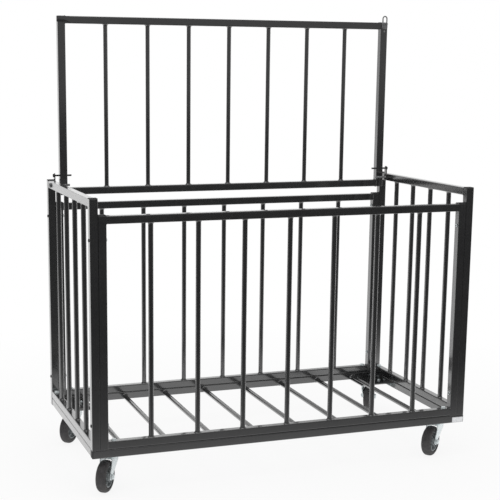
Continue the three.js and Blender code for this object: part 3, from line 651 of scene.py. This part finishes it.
def hexagon(flats, turn):
    """Radius to a hexagon: half its width over the cosine of the turn from the nearest flat's middle."""
    return flats / 2 / np.cos((turn + np.pi / 6) % (np.pi / 3) - np.pi / 6)


def hex_head(flats, height, axis, seat, side, centre):
    """Hexagon rising from its seat, limited by a thirty-degree cone at its top."""
    rise = height * np.array([0.0, 0.6, 0.7, 0.78, 0.86, 0.94, 1.0])
    cone = CONE_TOP * flats + CONE_SLOPE * (height - rise)
    radius = np.minimum(hexagon(flats, full_turn(HEX_COLUMNS)), cone[:, None])
    return rings(seat + side * rise, radius, axis, centre, caps=True)


def hex_nut(flats, height, bore, axis, seat, side, centre):
    """Hexagon limited by cones at both faces, closed through a bore with a small lead-in."""
    rise = np.array([0.0, 0.06, 0.14, 0.86, 0.94, 1.0])
    cone = CONE_TOP * flats + CONE_SLOPE * height * np.minimum(rise, 1 - rise)
    outside = np.minimum(hexagon(flats, full_turn(HEX_COLUMNS)), cone[:, None])
    lead = NUT_LEAD * np.array([1.0, 0.0, 0.0, 1.0])
    inside = np.repeat(bore / 2 + lead[:, None], HEX_COLUMNS, 1)
    along = seat + side * height * np.hstack([rise, [1.0, 0.9, 0.1, 0.0]])
    return rings(along, np.vstack([outside, inside]), axis, centre, loop=True)


# %% Threads, washers and domes
THREAD_STEPS = 6
THREAD_COLUMNS = 24
THREAD_DEPTH = 0.5
WASHER_EASE = 0.2
DOME_RADIUS = 5.25
DOME_RISE = 2.2
DOME_RIM = 0.5
DOME_EASE = 0.15
DOME_END = 1.2
SOCKET = [(2.3, 1.7), (1.1, 1.6), (1.1, 0.0)]


def thread(diameter, pitch, axis, low, high, centre):
    """Threaded length: the radius dips in a triangle wave of the distance along plus the turn round."""
    along = np.linspace(low, high, max(int(abs(high - low) / pitch * THREAD_STEPS), THREAD_STEPS))
    turn = np.linspace(0.0, 1.0, THREAD_COLUMNS, endpoint=False)
    wave = np.abs((along[:, None] / pitch + turn) % 1.0 * 2 - 1)
    return rings(along, diameter / 2 - THREAD_DEPTH * pitch * wave, axis, centre, caps=True)


def washer(inside, outside, thick, axis, seat, side, centre):
    """Flat ring with eased edges, turned as a closed profile."""
    drawn = outside - WASHER_EASE
    edge = [(0, drawn), (WASHER_EASE, outside), (thick - WASHER_EASE, outside), (thick, drawn)]
    profile = np.vstack([[(0, inside)], edge, [(thick, inside)]])
    return turned(profile + [side * seat, 0.0], axis, centre, side, columns=32, loop=True)


def dome_head(axis, seat, side, centre):
    """Domed head with a thin rim and a driver socket: a flattened quarter circle turned round the bolt."""
    angle = np.linspace(0.0, DOME_END, num=9)
    dome = np.stack([DOME_RIM + DOME_RISE * np.sin(angle), DOME_RADIUS * np.cos(angle)], -1)
    rim = [(0.0, 0.0), (0.0, DOME_RADIUS - DOME_EASE), (DOME_EASE, DOME_RADIUS)]
    return turned(np.vstack([rim, dome, SOCKET]) + [side * seat, 0.0], axis, centre, side)


# %% [markdown]
# Eight dome-headed bolts tie the side posts to the posts of the front and back panels, with nuts inside.
# Eight hex bolts go down through the bottom rails into the base.
# Their shanks are plain inside the tubes, and a thread is cut only where it shows.

# %% Corner bolts and base bolts
BOLT = 8.0
BOLT_PITCH = 1.25
HEX_FLATS = 13.0
HEAD_HEIGHT = 5.3
SHANK_PLAY = 0.2
SMALL_BOLT = 6.0
SMALL_PITCH = 1.0
SMALL_FLATS = 10.0
SMALL_HEAD = 4.0
NUT_HEIGHT = 3.2
BOLT_TAIL = 0.6
TAIL_SINK = 1.0
BOLT_LEVELS = {"lower": 219.0, "upper": 781.0}
BASE_BOLT_X = 565.2
BASE_BOLT_Y = 273.1
BASE_BOLT_TIP = BASE_TOP - 17.5
LOW_RAIL_TOP = LOW_RAIL_Z + RAIL / 2
WASHER = 1.3
WASHER_BORE = 4.2
WASHER_RIM = 8.0
PLACES = {"front_left": (-1, -1), "front_right": (1, -1), "back_left": (-1, 1), "back_right": (1, 1)}


def base_bolt(spot):
    """Hex head on a washer with a plain shank down into the base tube."""
    return [
        bar(Z, BASE_BOLT_TIP, LOW_RAIL_TOP, spot, BOLT, columns=20),
        hex_head(HEX_FLATS, HEAD_HEIGHT - WASHER, Z, LOW_RAIL_TOP + WASHER, 1, spot),
        washer(WASHER_BORE, WASHER_RIM, WASHER, Z, LOW_RAIL_TOP, 1, spot),
    ]


for place, (side, end) in PLACES.items():
    nut_seat = side * (HALF_WIDTH - 2 * POST)
    nut_face = nut_seat - side * NUT_HEIGHT
    tail = (nut_face + side * TAIL_SINK, nut_face - side * BOLT_TAIL)
    for level, height in BOLT_LEVELS.items():
        corner = f"{place}_{level}"
        spot = (0, end * POST_Y, height)
        bolt = [
            bar(X, nut_face, side * HALF_WIDTH, spot, SMALL_BOLT - SHANK_PLAY, columns=20),
            thread(SMALL_BOLT, SMALL_PITCH, X, *tail, spot),
            dome_head(X, side * HALF_WIDTH, side, spot),
        ]
        make_piece(f"dome_bolt_{corner}", bolt, black_bolt, "cage", f"corner_bolt_{corner}")
        nut = [hex_nut(SMALL_FLATS, NUT_HEIGHT, SMALL_BOLT, X, nut_seat, -side, spot)]
        make_piece(f"hex_nut_{corner}", nut, zinc, "cage", f"corner_nut_{corner}")
    end_spot = (side * BASE_BOLT_X, end * (HALF_DEPTH - RAIL_INSET), 0)
    side_spot = (side * (HALF_WIDTH - RAIL_INSET), end * BASE_BOLT_Y, 0)
    for rail, spot in (("end", end_spot), ("side", side_spot)):
        corner = f"{place}_{rail}"
        make_piece(f"floor_bolt_{corner}", base_bolt(spot), zinc, "cage", f"base_bolt_{corner}")

# %% [markdown]
# The lid turns on two long thin black bolts through the ears. Just below them a thicker dull bolt crosses
# each side rail, and the tail of the open lid leans on it, so the lid stands upright without a stay.

# %% Hinge bolts and stop bolts
PIVOT_TIP = 560.6
EAR_FACE = EAR_X + EAR_THICK / 2
STOP_Y = 251.7
STOP_SEAT = HALF_WIDTH - FLUSH
STOP_TIP = 569.6
for name, side in SIDES.items():
    spot = (0, PIVOT_Y, PIVOT_Z)
    parts = [
        hex_head(SMALL_FLATS, SMALL_HEAD, X, side * EAR_FACE, side, spot),
        thread(SMALL_BOLT, SMALL_PITCH, X, side * EAR_FACE, side * PIVOT_TIP, spot),
    ]
    make_piece(f"pivot_bolt_{name}", parts, black_bolt, "cage", f"hinge_bolt_{name}")
    spot = (0, STOP_Y, SIDE_RAIL_Z)
    parts = [
        hex_head(HEX_FLATS, HEAD_HEIGHT, X, side * STOP_SEAT, side, spot),
        thread(BOLT, BOLT_PITCH, X, side * STOP_SEAT, side * STOP_TIP, spot),
    ]
    make_piece(f"stop_bolt_{name}", parts, dull_zinc, "cage", f"lid_stop_bolt_{name}")

# %% [markdown]
# The padlock eye is a small plate with a loop of bent wire standing past the lid's edge.
# The wire is a circle carried along two straight legs and a half circle between them.
# A small rivet sits below it, and another near the left end of the front panel's top rail.

# %% Padlock eye
EYE_WIRE = 4.5
EYE_BEND = 7.75
EYE_Y = 253.5
EYE_ROOT = 1435.4
EYE_SHOULDER = 1457.7
EYE_TALL = 23.0
EYE_OUTLINE = plate_outline(EYE_TALL, 22.0, 5.0)
EYE_MIDDLE = (LID_X, 0, LID_TOP - EYE_TALL / 2)
EYE_THICK = 3.0
WIRE_COLUMNS = 16
ROOT_OUTLINE = plate_outline(5.0, 9.0, 2.0)
ROOT_X = 0.85 * EYE_BEND
ROOT_Y = LID_FRONT - 2.8
ROOT_Z = EYE_ROOT + 4.0


def wire_loop():
    """Round wire in X and Z: a circle at each point of the path.

    The circle is spanned by the path's outward normal and the Y axis.
    """
    angle = np.linspace(np.pi, 0.0, num=25)
    bend = EYE_BEND * spoke(angle) + [0, EYE_SHOULDER]
    path = np.vstack([[(-EYE_BEND, EYE_ROOT)], bend, [(EYE_BEND, EYE_ROOT)]])
    normal = np.vstack([[(-1, 0)], spoke(angle), [(1, 0)]])
    turn = full_turn(WIRE_COLUMNS)
    flat = path[:, None] + EYE_WIRE / 2 * np.cos(turn)[:, None] * normal[:, None]
    deep = np.broadcast_to(EYE_Y + EYE_WIRE / 2 * np.sin(turn), flat.shape[:2])
    return skin(np.stack([LID_X + flat[..., 0], deep, flat[..., 1]], -1), caps=True)


parts = [pushed(EYE_OUTLINE, Y, LID_FRONT - EYE_THICK, LID_FRONT, EYE_MIDDLE, PLATE_EASE), wire_loop()]
for side in (-1, 1):
    parts.append(seam_weld(ROOT_OUTLINE, Y, ROOT_Y, (LID_X + side * ROOT_X, 0, ROOT_Z), bead=0.9))
make_piece("wire_eye", parts, dull_zinc, "lid", "padlock_eye")

# %% Rivets
RIVET_SINK = 0.6
EYE_RIVET = (LID_X, 0, 1413.0)
RAIL_RIVET = (-580.0, 0, 841.0)


def rivet(seat, centre, radius, height):
    """Low round head towards the front: a flattened quarter circle turned round the Y axis."""
    angle = np.linspace(0.0, np.pi / 2, num=7)
    head = np.stack([height * np.sin(angle), radius * np.cos(angle)], -1)
    profile = np.vstack([[(-RIVET_SINK, 0.0), (-RIVET_SINK, radius)], head])
    return turned(profile - [seat, 0.0], Y, centre, -1, columns=24)


eye_rivet = rivet(LID_FRONT, EYE_RIVET, radius=3.2, height=1.6)
make_piece("eye_rivet", [eye_rivet], dull_zinc, "lid")
rail_rivet = rivet(FLUSH - HALF_DEPTH, RAIL_RIVET, radius=2.6, height=1.0)
make_piece("rail_rivet", [rail_rivet], black_bolt, "cage")

# %% [markdown]
# A small blank film label is stuck near the right end of the front base tube.
# It is a thin plate with its back sunk in the paint, so its edge shows as a real film's does.

# %% Blank label
LABEL_MIDDLE = (613.0, 0, 128.0)
LABEL_OUTLINE = plate_outline(17.0, 40.0, 1.5)
LABEL_FACE = -HALF_DEPTH - 0.25
LABEL_BACK = -HALF_DEPTH + 0.2
label = pushed(LABEL_OUTLINE, Y, LABEL_FACE, LABEL_BACK, LABEL_MIDDLE)
make_piece("blank_label", [label], blank_film, "cage")

# %% [markdown]
# Each caster is a plate with a bearing race and kingpin, a fork bent from strip, and a rubber-tyred wheel.
# The pieces are drawn with the kingpin on the Z axis and the wheel trailing towards -Y,
# then turned to the caster's heading and set under its corner.

# %% Caster helpers
SWIVEL_X = 567.0
SWIVEL_Y = 254.0
HEADINGS = {"front_left": 35.0, "front_right": 52.0, "back_left": 39.0, "back_right": 215.0}
TRAIL = 38.0
WHEEL = 50.0
AXLE = 10.0
AXLE_SPOT = (0, -TRAIL, WHEEL)


def under_corner(skins, place, heading):
    """Turns grids about the kingpin to a heading in degrees and moves them under a corner."""
    side, end = PLACES[place]
    turn = -math.radians(heading)
    spin = np.array([[math.cos(turn), -math.sin(turn), 0], [math.sin(turn), math.cos(turn), 0], [0, 0, 1]])
    spot = np.array([side * SWIVEL_X, end * SWIVEL_Y, 0])
    return [{**part, "points": part["points"] @ spin.T + spot} for part in skins]


def caster_piece(place, name, skins, finish, body, node):
    """One piece of a caster, turned to its heading, with the caster's place added to every name."""
    moved = under_corner(skins, place, HEADINGS[place])
    make_piece(f"{name}_{place}", moved, finish, f"{body}_{place}", f"{node}_{place}")


# %% [markdown]
# The fork is a strip folded over the wheel. Going across it, the strip rises up one leg, bends over
# the crown and goes down the other. Going fore and aft it is as wide as its slanting side outline allows.

# %% Caster fork outline
SHEET = 3.0
BEND = 4.5
LEG_X = 19.5
CROWN_Z = 103.5
BOSS = 11.0
SHOULDER_Z = 90.0
CROWN_FRONT = 23.0
CROWN_REAR = -30.0
BOSS_START = math.radians(-81.0)
LEG_START = 54.0
STRIP_POINTS = 10
STRIP_EASE = 0.6
STRIP_LEAST = 0.1


def fork_limits(height):
    """Front and rear edge at each height.

    They follow a circle about the axle below it, straight slants above, and stand upright at the crown.
    """
    drop = np.clip(WHEEL - height, 0.0, BOSS)
    half = np.sqrt(BOSS ** 2 - drop ** 2)
    rise = np.clip((height - WHEEL) / (SHOULDER_Z - WHEEL), 0.0, 1.0)
    front = -TRAIL + half + rise * (CROWN_FRONT + TRAIL - BOSS)
    rear = -TRAIL - half + rise * (CROWN_REAR + TRAIL + BOSS)
    return front, rear


def fork_strip():
    """Bent strip: the middle line of its section, moved out or in by half the sheet.

    Each row goes round the strip from its front edge to its rear edge and back, with eased edges.
    """
    boss = WHEEL + BOSS * np.sin(np.linspace(BOSS_START, 0.0, num=9))
    leg = np.hstack([boss, np.linspace(LEG_START, CROWN_Z - BEND, num=10)])
    bend = np.linspace(0.0, np.pi / 2, num=7)[1:]
    across = np.hstack([np.full(len(leg), -LEG_X), -LEG_X + BEND - BEND * np.cos(bend)])
    across = np.hstack([across, -across[::-1]])
    height = np.hstack([leg, CROWN_Z - BEND + BEND * np.sin(bend)])
    height = np.hstack([height, height[::-1]])
    lean = np.hstack([np.zeros(len(leg)), bend])
    out_x = np.hstack([-np.cos(lean), np.cos(lean[::-1])])
    out_z = np.hstack([np.sin(lean), np.sin(lean[::-1])])
    face = np.linspace(0.0, 1.0, STRIP_POINTS)
    share = np.hstack([face, [1.0, 1.0], face[::-1], [0.0, 0.0]])
    inset = np.tile(np.hstack([np.full(STRIP_POINTS, STRIP_EASE), [0.0, 0.0]]), 2)
    side = np.hstack([np.full(STRIP_POINTS, 0.5), [0.3, -0.3]])
    offset = SHEET * np.hstack([side, -side])
    front, rear = fork_limits(height)
    half = np.maximum((front - rear)[:, None] / 2 - inset, STRIP_LEAST)
    depth = (front + rear)[:, None] / 2 + half * (1 - 2 * share)
    strip_x = across[:, None] + out_x[:, None] * offset
    strip_z = height[:, None] + out_z[:, None] * offset
    return skin(np.stack([strip_x, depth, strip_z], -1), caps=True)


# %% Caster fork
LEG_OUT = LEG_X + SHEET / 2
LEG_WASHER = 1.2
LEG_WASHER_RIM = 9.6
LEG_WASHER_SINK = 0.3
LOWER_RACE = [(104.5, 0), (104.5, 20.4), (105.2, 21), (107.2, 21), (108.8, 20.2), (110.1, 18), (110.1, 0)]
fork_parts = [fork_strip(), turned(LOWER_RACE, Z, ORIGIN)]
for side in (-1, 1):
    washer_seat = side * (LEG_OUT - LEG_WASHER_SINK)
    fork_parts.append(washer(AXLE / 2, LEG_WASHER_RIM, LEG_WASHER, X, washer_seat, side, AXLE_SPOT))
for place in PLACES:
    caster_piece(place, "bent_fork", fork_parts, zinc, "fork", "caster_fork")

# %% [markdown]
# The wheel is a moulded centre with a rim, a thin web, six ribs and a hub, pressed into a rubber tyre
# with rounded shoulders and a shallow groove on each side wall. Tyre and centre are turned about the axle
# from closed half sections that are mirrored, so both sides match.

# %% Caster wheel and tyre
TYRE_HALF = 16.0
BEAD = 35.0
GROOVE = [(0.0, 0.0), (0.0, 1.2), (0.7, 1.6), (0.7, 2.2), (0.0, 2.6)]
SHOULDER = 12.0
HUB = [(0, 5.5), (-15.0, 5.5), (-15.5, 6.0), (-15.5, 13.0), (-14.5, 14.0), (-6.0, 14.0)]
WEB = [(-4.5, 15.5), (-4.5, 28.4)]
RIM = [(-6.0, 29.7), (-13.2, 29.7), (-14.0, 30.5), (-14.0, 33.9), (-13.2, 34.7), (0, 34.7)]
RIBS = 6
RIB_OUTLINE = plate_outline(17.0, 3.6, 0.8) + [21.5, 0.0]
RIB_HALF = 10.5
RIB_EASE = 0.6


def tyre_profile():
    """Side wall with a groove, a quarter circle at the shoulder and half the tread, mirrored across."""
    angle = np.linspace(0.0, np.pi / 2, num=8)
    middle = np.array([SHOULDER - TYRE_HALF, WHEEL - SHOULDER])
    round_off = middle + SHOULDER * spoke(angle) * [-1, 1]
    half = np.vstack([np.array(GROOVE) + [-TYRE_HALF, BEAD], round_off])
    return np.vstack([half, half[::-1] * [-1, 1]])


def core_profile():
    """Half section of the wheel centre from bore to rim with eased corners, mirrored across."""
    half = np.array(HUB + WEB + RIM)
    return np.vstack([half, half[-2:0:-1] * [-1, 1]])


def wheel_rib(turn):
    """Flat rib from hub to rim: a thin plate outline turned about the axle and pushed across."""
    spin = np.array([[math.cos(turn), math.sin(turn)], [-math.sin(turn), math.cos(turn)]])
    return pushed(RIB_OUTLINE @ spin, X, -RIB_HALF, RIB_HALF, AXLE_SPOT, RIB_EASE)


tyre_parts = [turned(tyre_profile(), X, AXLE_SPOT, columns=72, loop=True)]
core_parts = [turned(core_profile(), X, AXLE_SPOT, columns=48, loop=True)]
core_parts += [wheel_rib(turn) for turn in full_turn(RIBS)]
for place in PLACES:
    caster_piece(place, "ring_tyre", tyre_parts, tyre_rubber, "wheel", "caster_tyre")
    caster_piece(place, "wheel_core", core_parts, wheel_nylon, "wheel", "caster_wheel")

# %% [markdown]
# The wheel turns on a bolt through both legs of the fork, with its head on one side and a nut on the other.
# Both sit on the legs' washers, and a turn or two of thread stands out past the nut.

# %% Axle bolts and nuts
AXLE_FLATS = 16.0
AXLE_HEAD = 6.5
AXLE_PITCH = 1.5
AXLE_TAIL = 2.5
AXLE_SEAT = LEG_OUT - LEG_WASHER_SINK + LEG_WASHER
AXLE_FACE = LEG_OUT + AXLE_HEAD
axle_parts = [
    bar(X, -LEG_OUT, AXLE_FACE, AXLE_SPOT, AXLE - SHANK_PLAY, columns=24),
    hex_head(AXLE_FLATS, AXLE_FACE - AXLE_SEAT, X, -AXLE_SEAT, -1, AXLE_SPOT),
    thread(AXLE, AXLE_PITCH, X, AXLE_FACE - TAIL_SINK, AXLE_FACE + AXLE_TAIL, AXLE_SPOT),
]
axle_nut = [hex_nut(AXLE_FLATS, AXLE_FACE - AXLE_SEAT, AXLE, X, AXLE_SEAT, 1, AXLE_SPOT)]
for place in PLACES:
    caster_piece(place, "axle", axle_parts, zinc, "fork", "axle_bolt")
    caster_piece(place, "axle_lock", axle_nut, zinc, "fork", "axle_nut")

# %% [markdown]
# The top plate stays square to the cage while the fork turns below it. It carries the upper race and the
# kingpin, whose riveted end shows under the crown, and is held to the corner plate by four bolts.

# %% Caster plates
PLATE_TOP = CORNER_LOW
PLATE_LOW = PLATE_TOP - 3.0
PLATE_OUTLINE = plate_outline(84.0, 68.0, 8.0)
PLATE_BOLT_X = 33.0
PLATE_BOLT_Y = 25.0
PLATE_NUT = 5.0
PLATE_TIP = CORNER_TOP + 6.5
UPPER_RACE = [(110.6, 0), (110.6, 19.6), (111.2, 20.4), (113.2, 22.4), (114.4, 23), (116, 23), (116, 0)]
KINGPIN = [(98.5, 0), (98.5, 5.5), (99.0, 7.6), (100.0, 9), (101.5, 9), (101.5, 5), (111, 5), (111, 0)]
plate_parts = [
    pushed(PLATE_OUTLINE, Z, PLATE_LOW, PLATE_TOP, ORIGIN, PLATE_EASE),
    turned(UPPER_RACE, Z, ORIGIN),
    turned(KINGPIN, Z, ORIGIN),
]
for side, end in PLACES.values():
    spot = (side * PLATE_BOLT_X, end * PLATE_BOLT_Y, 0)
    plate_parts += [
        hex_head(SMALL_FLATS, SMALL_HEAD, Z, PLATE_LOW, -1, spot),
        hex_nut(SMALL_FLATS, PLATE_NUT, SMALL_BOLT, Z, CORNER_TOP, 1, spot),
        thread(SMALL_BOLT, SMALL_PITCH, Z, PLATE_LOW, PLATE_TIP, spot),
    ]
for place in PLACES:
    moved = under_corner(plate_parts, place, 0.0)
    make_piece(f"top_plate_{place}", moved, zinc, "cage", f"caster_plate_{place}")

# %% [markdown]
# The stage is a pale floor that fades into white a few steps away, so the cage keeps a soft shadow.
# Behind the cage floor and backdrop are white, also for the rays that gloss and zinc send out
# to mirror them. Towards the front, and far out on the left, what they mirror is dim,
# and under the cage the floor they mirror is a little darker, a painted shadow of the cage.
# So black faces look black from the front, while side faces, seen at a low angle, turn pale.

# %% Floor
FLOOR_HALF = 30.0
CORNERS = ((-1, -1), (1, -1), (1, 1), (-1, 1))
floor_mesh = bpy.data.meshes.new("studio_floor")
floor_mesh.from_pydata([(x * FLOOR_HALF, y * FLOOR_HALF, 0.0) for x, y in CORNERS], [], [(0, 1, 2, 3)])
floor = bpy.data.objects.new("studio_floor", floor_mesh)
scene.collection.objects.link(floor)
paper = bpy.data.materials.new("studio_paper")
paper.use_nodes = True
floor_mesh.materials.append(paper)
print("Floor set")

# %% Where the floor is bright
EAST = (1.0, 0.0, 0.0)
NORTH = (0.0, 1.0, 0.0)
FRONT_SPAN = (-2.9, -0.32)
FRONT_FALLOFF = 9.0
FRONT_LIGHT = (0.08, 1.0)
LEFT_SLANT = (1.0, 0.55, 0.0)
SLANT_SPAN = (0.2, 1.0)
LEFT_SPAN = (-4.2, -2.6)
LEFT_LIGHT = (0.35, 1.0)
# Under the cage's footprint the floor that gloss mirrors glows less: a painted shadow of the cage.
SHADOW_BESIDE_SPAN = (0.58, 0.66)
SHADOW_BEYOND_SPAN = (0.42, 0.6)
PAINTED_SHADOW_LIGHT = (0.8, 1.0)


def choose(tree, first, second, rule="MAXIMUM"):
    """The larger of two values, or the smaller where the rule is MINIMUM."""
    node = tree.nodes.new("ShaderNodeMath")
    node.operation = rule
    tree.links.new(first, node.inputs[0])
    tree.links.new(second, node.inputs[1])
    return node.outputs["Value"]


def blend(tree, share, first, second, output):
    """One shader over another by a share, joined to the output node."""
    node = tree.nodes.new("ShaderNodeMixShader")
    tree.links.new(share, node.inputs["Fac"])
    tree.links.new(first, node.inputs[1])
    tree.links.new(second, node.inputs[2])
    tree.links.new(node.outputs["Shader"], tree.nodes.new(output).inputs["Surface"])


def measure(tree, place, rule="DOT_PRODUCT", direction=ORIGIN, result="Value"):
    """How far a place lies along a direction, or what another rule for vectors makes of it."""
    node = tree.nodes.new("ShaderNodeVectorMath")
    node.operation = rule
    node.inputs[1].default_value = direction
    tree.links.new(place, node.inputs[0])
    return node.outputs[result]


tree = paper.node_tree
tree.nodes.clear()
place = tree.nodes.new("ShaderNodeTexCoord").outputs["Object"]
nearness = tree.nodes.new("ShaderNodeMath")
nearness.operation = "POWER"
nearness.inputs[1].default_value = FRONT_FALLOFF
closer = stretch(tree, measure(tree, place, direction=NORTH), FRONT_SPAN, (0.0, 1.0))
tree.links.new(closer, nearness.inputs[0])
front_dim = stretch(tree, nearness.outputs["Value"], (0.0, 1.0), FRONT_LIGHT)
slant_dim = stretch(tree, measure(tree, place, direction=LEFT_SLANT), SLANT_SPAN, LEFT_LIGHT)
far_dim = stretch(tree, measure(tree, place, direction=EAST), LEFT_SPAN, LEFT_LIGHT)
open_dim = choose(tree, front_dim, choose(tree, slant_dim, far_dim), "MINIMUM")
# Painted shadow: the floor that gloss mirrors is dimmed under the cage's footprint.
away = measure(tree, place, "ABSOLUTE", result="Vector")
painted_shadow_beside = stretch(tree, measure(tree, away, direction=EAST), SHADOW_BESIDE_SPAN, PAINTED_SHADOW_LIGHT)
painted_shadow_beyond = stretch(tree, measure(tree, away, direction=NORTH), SHADOW_BEYOND_SPAN, PAINTED_SHADOW_LIGHT)
mirrored = choose(tree, open_dim, choose(tree, painted_shadow_beside, painted_shadow_beyond), "MINIMUM")
print("Floor brightness set")

# %% Floor paper and its fade into white
PAPER = (0.86, 0.86, 0.86, 1.0)
WHITE = (1.0, 1.0, 1.0, 1.0)
FADE_SPAN = (0.7, 2.0)
FADE_SHARE = (0.88, 1.0)
matte = tree.nodes.new("ShaderNodeBsdfDiffuse")
matte.inputs["Color"].default_value = PAPER
glow = tree.nodes.new("ShaderNodeEmission")
glow.inputs["Color"].default_value = WHITE
ray = tree.nodes.new("ShaderNodeLightPath")
plain = choose(tree, ray.outputs["Is Camera Ray"], ray.outputs["Is Diffuse Ray"])
tree.links.new(choose(tree, plain, mirrored), glow.inputs["Strength"])
fade = stretch(tree, measure(tree, place, "LENGTH"), FADE_SPAN, FADE_SHARE)
blend(tree, fade, matte.outputs["BSDF"], glow.outputs["Emission"], "ShaderNodeOutputMaterial")
print("Floor paper set")

# %% Backdrop and room light
ROOM_LEVEL = 0.75
ROOM_LIGHT = (0.27, 1.0)
BACKDROP_SPAN = (0.84, 0.925)
WINDOW_SIDE = (0.9, 0.44, 0.0)
WINDOW_SPAN = (0.6, 0.9)
world = bpy.data.worlds.new("studio_room")
scene.world = world
world.use_nodes = True
tree = world.node_tree
tree.nodes.clear()
backdrop = tree.nodes.new("ShaderNodeBackground")
backdrop.inputs["Color"].default_value = WHITE
room = tree.nodes.new("ShaderNodeBackground")
room.inputs["Color"].default_value = WHITE
room.inputs["Strength"].default_value = ROOM_LEVEL
heading = tree.nodes.new("ShaderNodeTexCoord").outputs["Generated"]
backdrop_light = stretch(tree, measure(tree, heading, direction=NORTH), BACKDROP_SPAN, ROOM_LIGHT)
window_light = stretch(tree, measure(tree, heading, direction=WINDOW_SIDE), WINDOW_SPAN, ROOM_LIGHT)
mirrored = choose(tree, backdrop_light, window_light)
ray = tree.nodes.new("ShaderNodeLightPath")
tree.links.new(choose(tree, ray.outputs["Is Camera Ray"], mirrored), backdrop.inputs["Strength"])
shiny = choose(tree, ray.outputs["Is Glossy Ray"], ray.outputs["Is Transmission Ray"])
direct = choose(tree, ray.outputs["Is Camera Ray"], shiny)
blend(tree, direct, room.outputs["Background"], backdrop.outputs["Background"], "ShaderNodeOutputWorld")
print("Room light set")

# %% Soft lamp
LAMP_SPOT = Vector((-0.5, -0.6, 3.6))
LAMP_TARGET = Vector((0.0, 0.0, 0.5))
lamp_data = bpy.data.lights.new("overhead_soft_lamp", "AREA")
lamp_data.size = 3.0
lamp_data.energy = 30.0
lamp = bpy.data.objects.new("overhead_soft_lamp", lamp_data)
lamp_turn = (LAMP_SPOT - LAMP_TARGET).to_track_quat("Z", "Y").to_matrix().to_4x4()
lamp.matrix_world = Matrix.Translation(LAMP_SPOT) @ lamp_turn
scene.collection.objects.link(lamp)
print("Lamp set")

# %% [markdown]
# The camera stands a little to the left of the cage and above its rim, about four metres away.
# Its place, turn and lens were solved from the cage's own straight edges in the picture.

# %% Camera
YAW = math.radians(18.87361)
PITCH = math.radians(10.52506)
ROLL = math.radians(0.36186)
CAMERA_SPOT = (-1.39177, -3.58954, 1.26562)
ahead = np.array([math.sin(YAW) * math.cos(PITCH), math.cos(YAW) * math.cos(PITCH), -math.sin(PITCH)])
right = np.array([math.cos(YAW), -math.sin(YAW), 0.0])
up = np.cross(right, ahead)
placed = np.eye(4)
placed[:3, 0] = right * math.cos(ROLL) + up * math.sin(ROLL)
placed[:3, 1] = up * math.cos(ROLL) - right * math.sin(ROLL)
placed[:3, 2] = -ahead
placed[:3, 3] = CAMERA_SPOT
camera_data = bpy.data.cameras.new("picture_camera")
camera_data.sensor_width = 36.0
camera_data.lens = 83.7136
camera_data.shift_x = 0.084976
camera_data.shift_y = 0.076124
camera = bpy.data.objects.new("picture_camera", camera_data)
camera.matrix_world = Matrix(placed.tolist())
scene.collection.objects.link(camera)
scene.camera = camera
scene.view_settings.view_transform = "Standard"
print("Camera set")
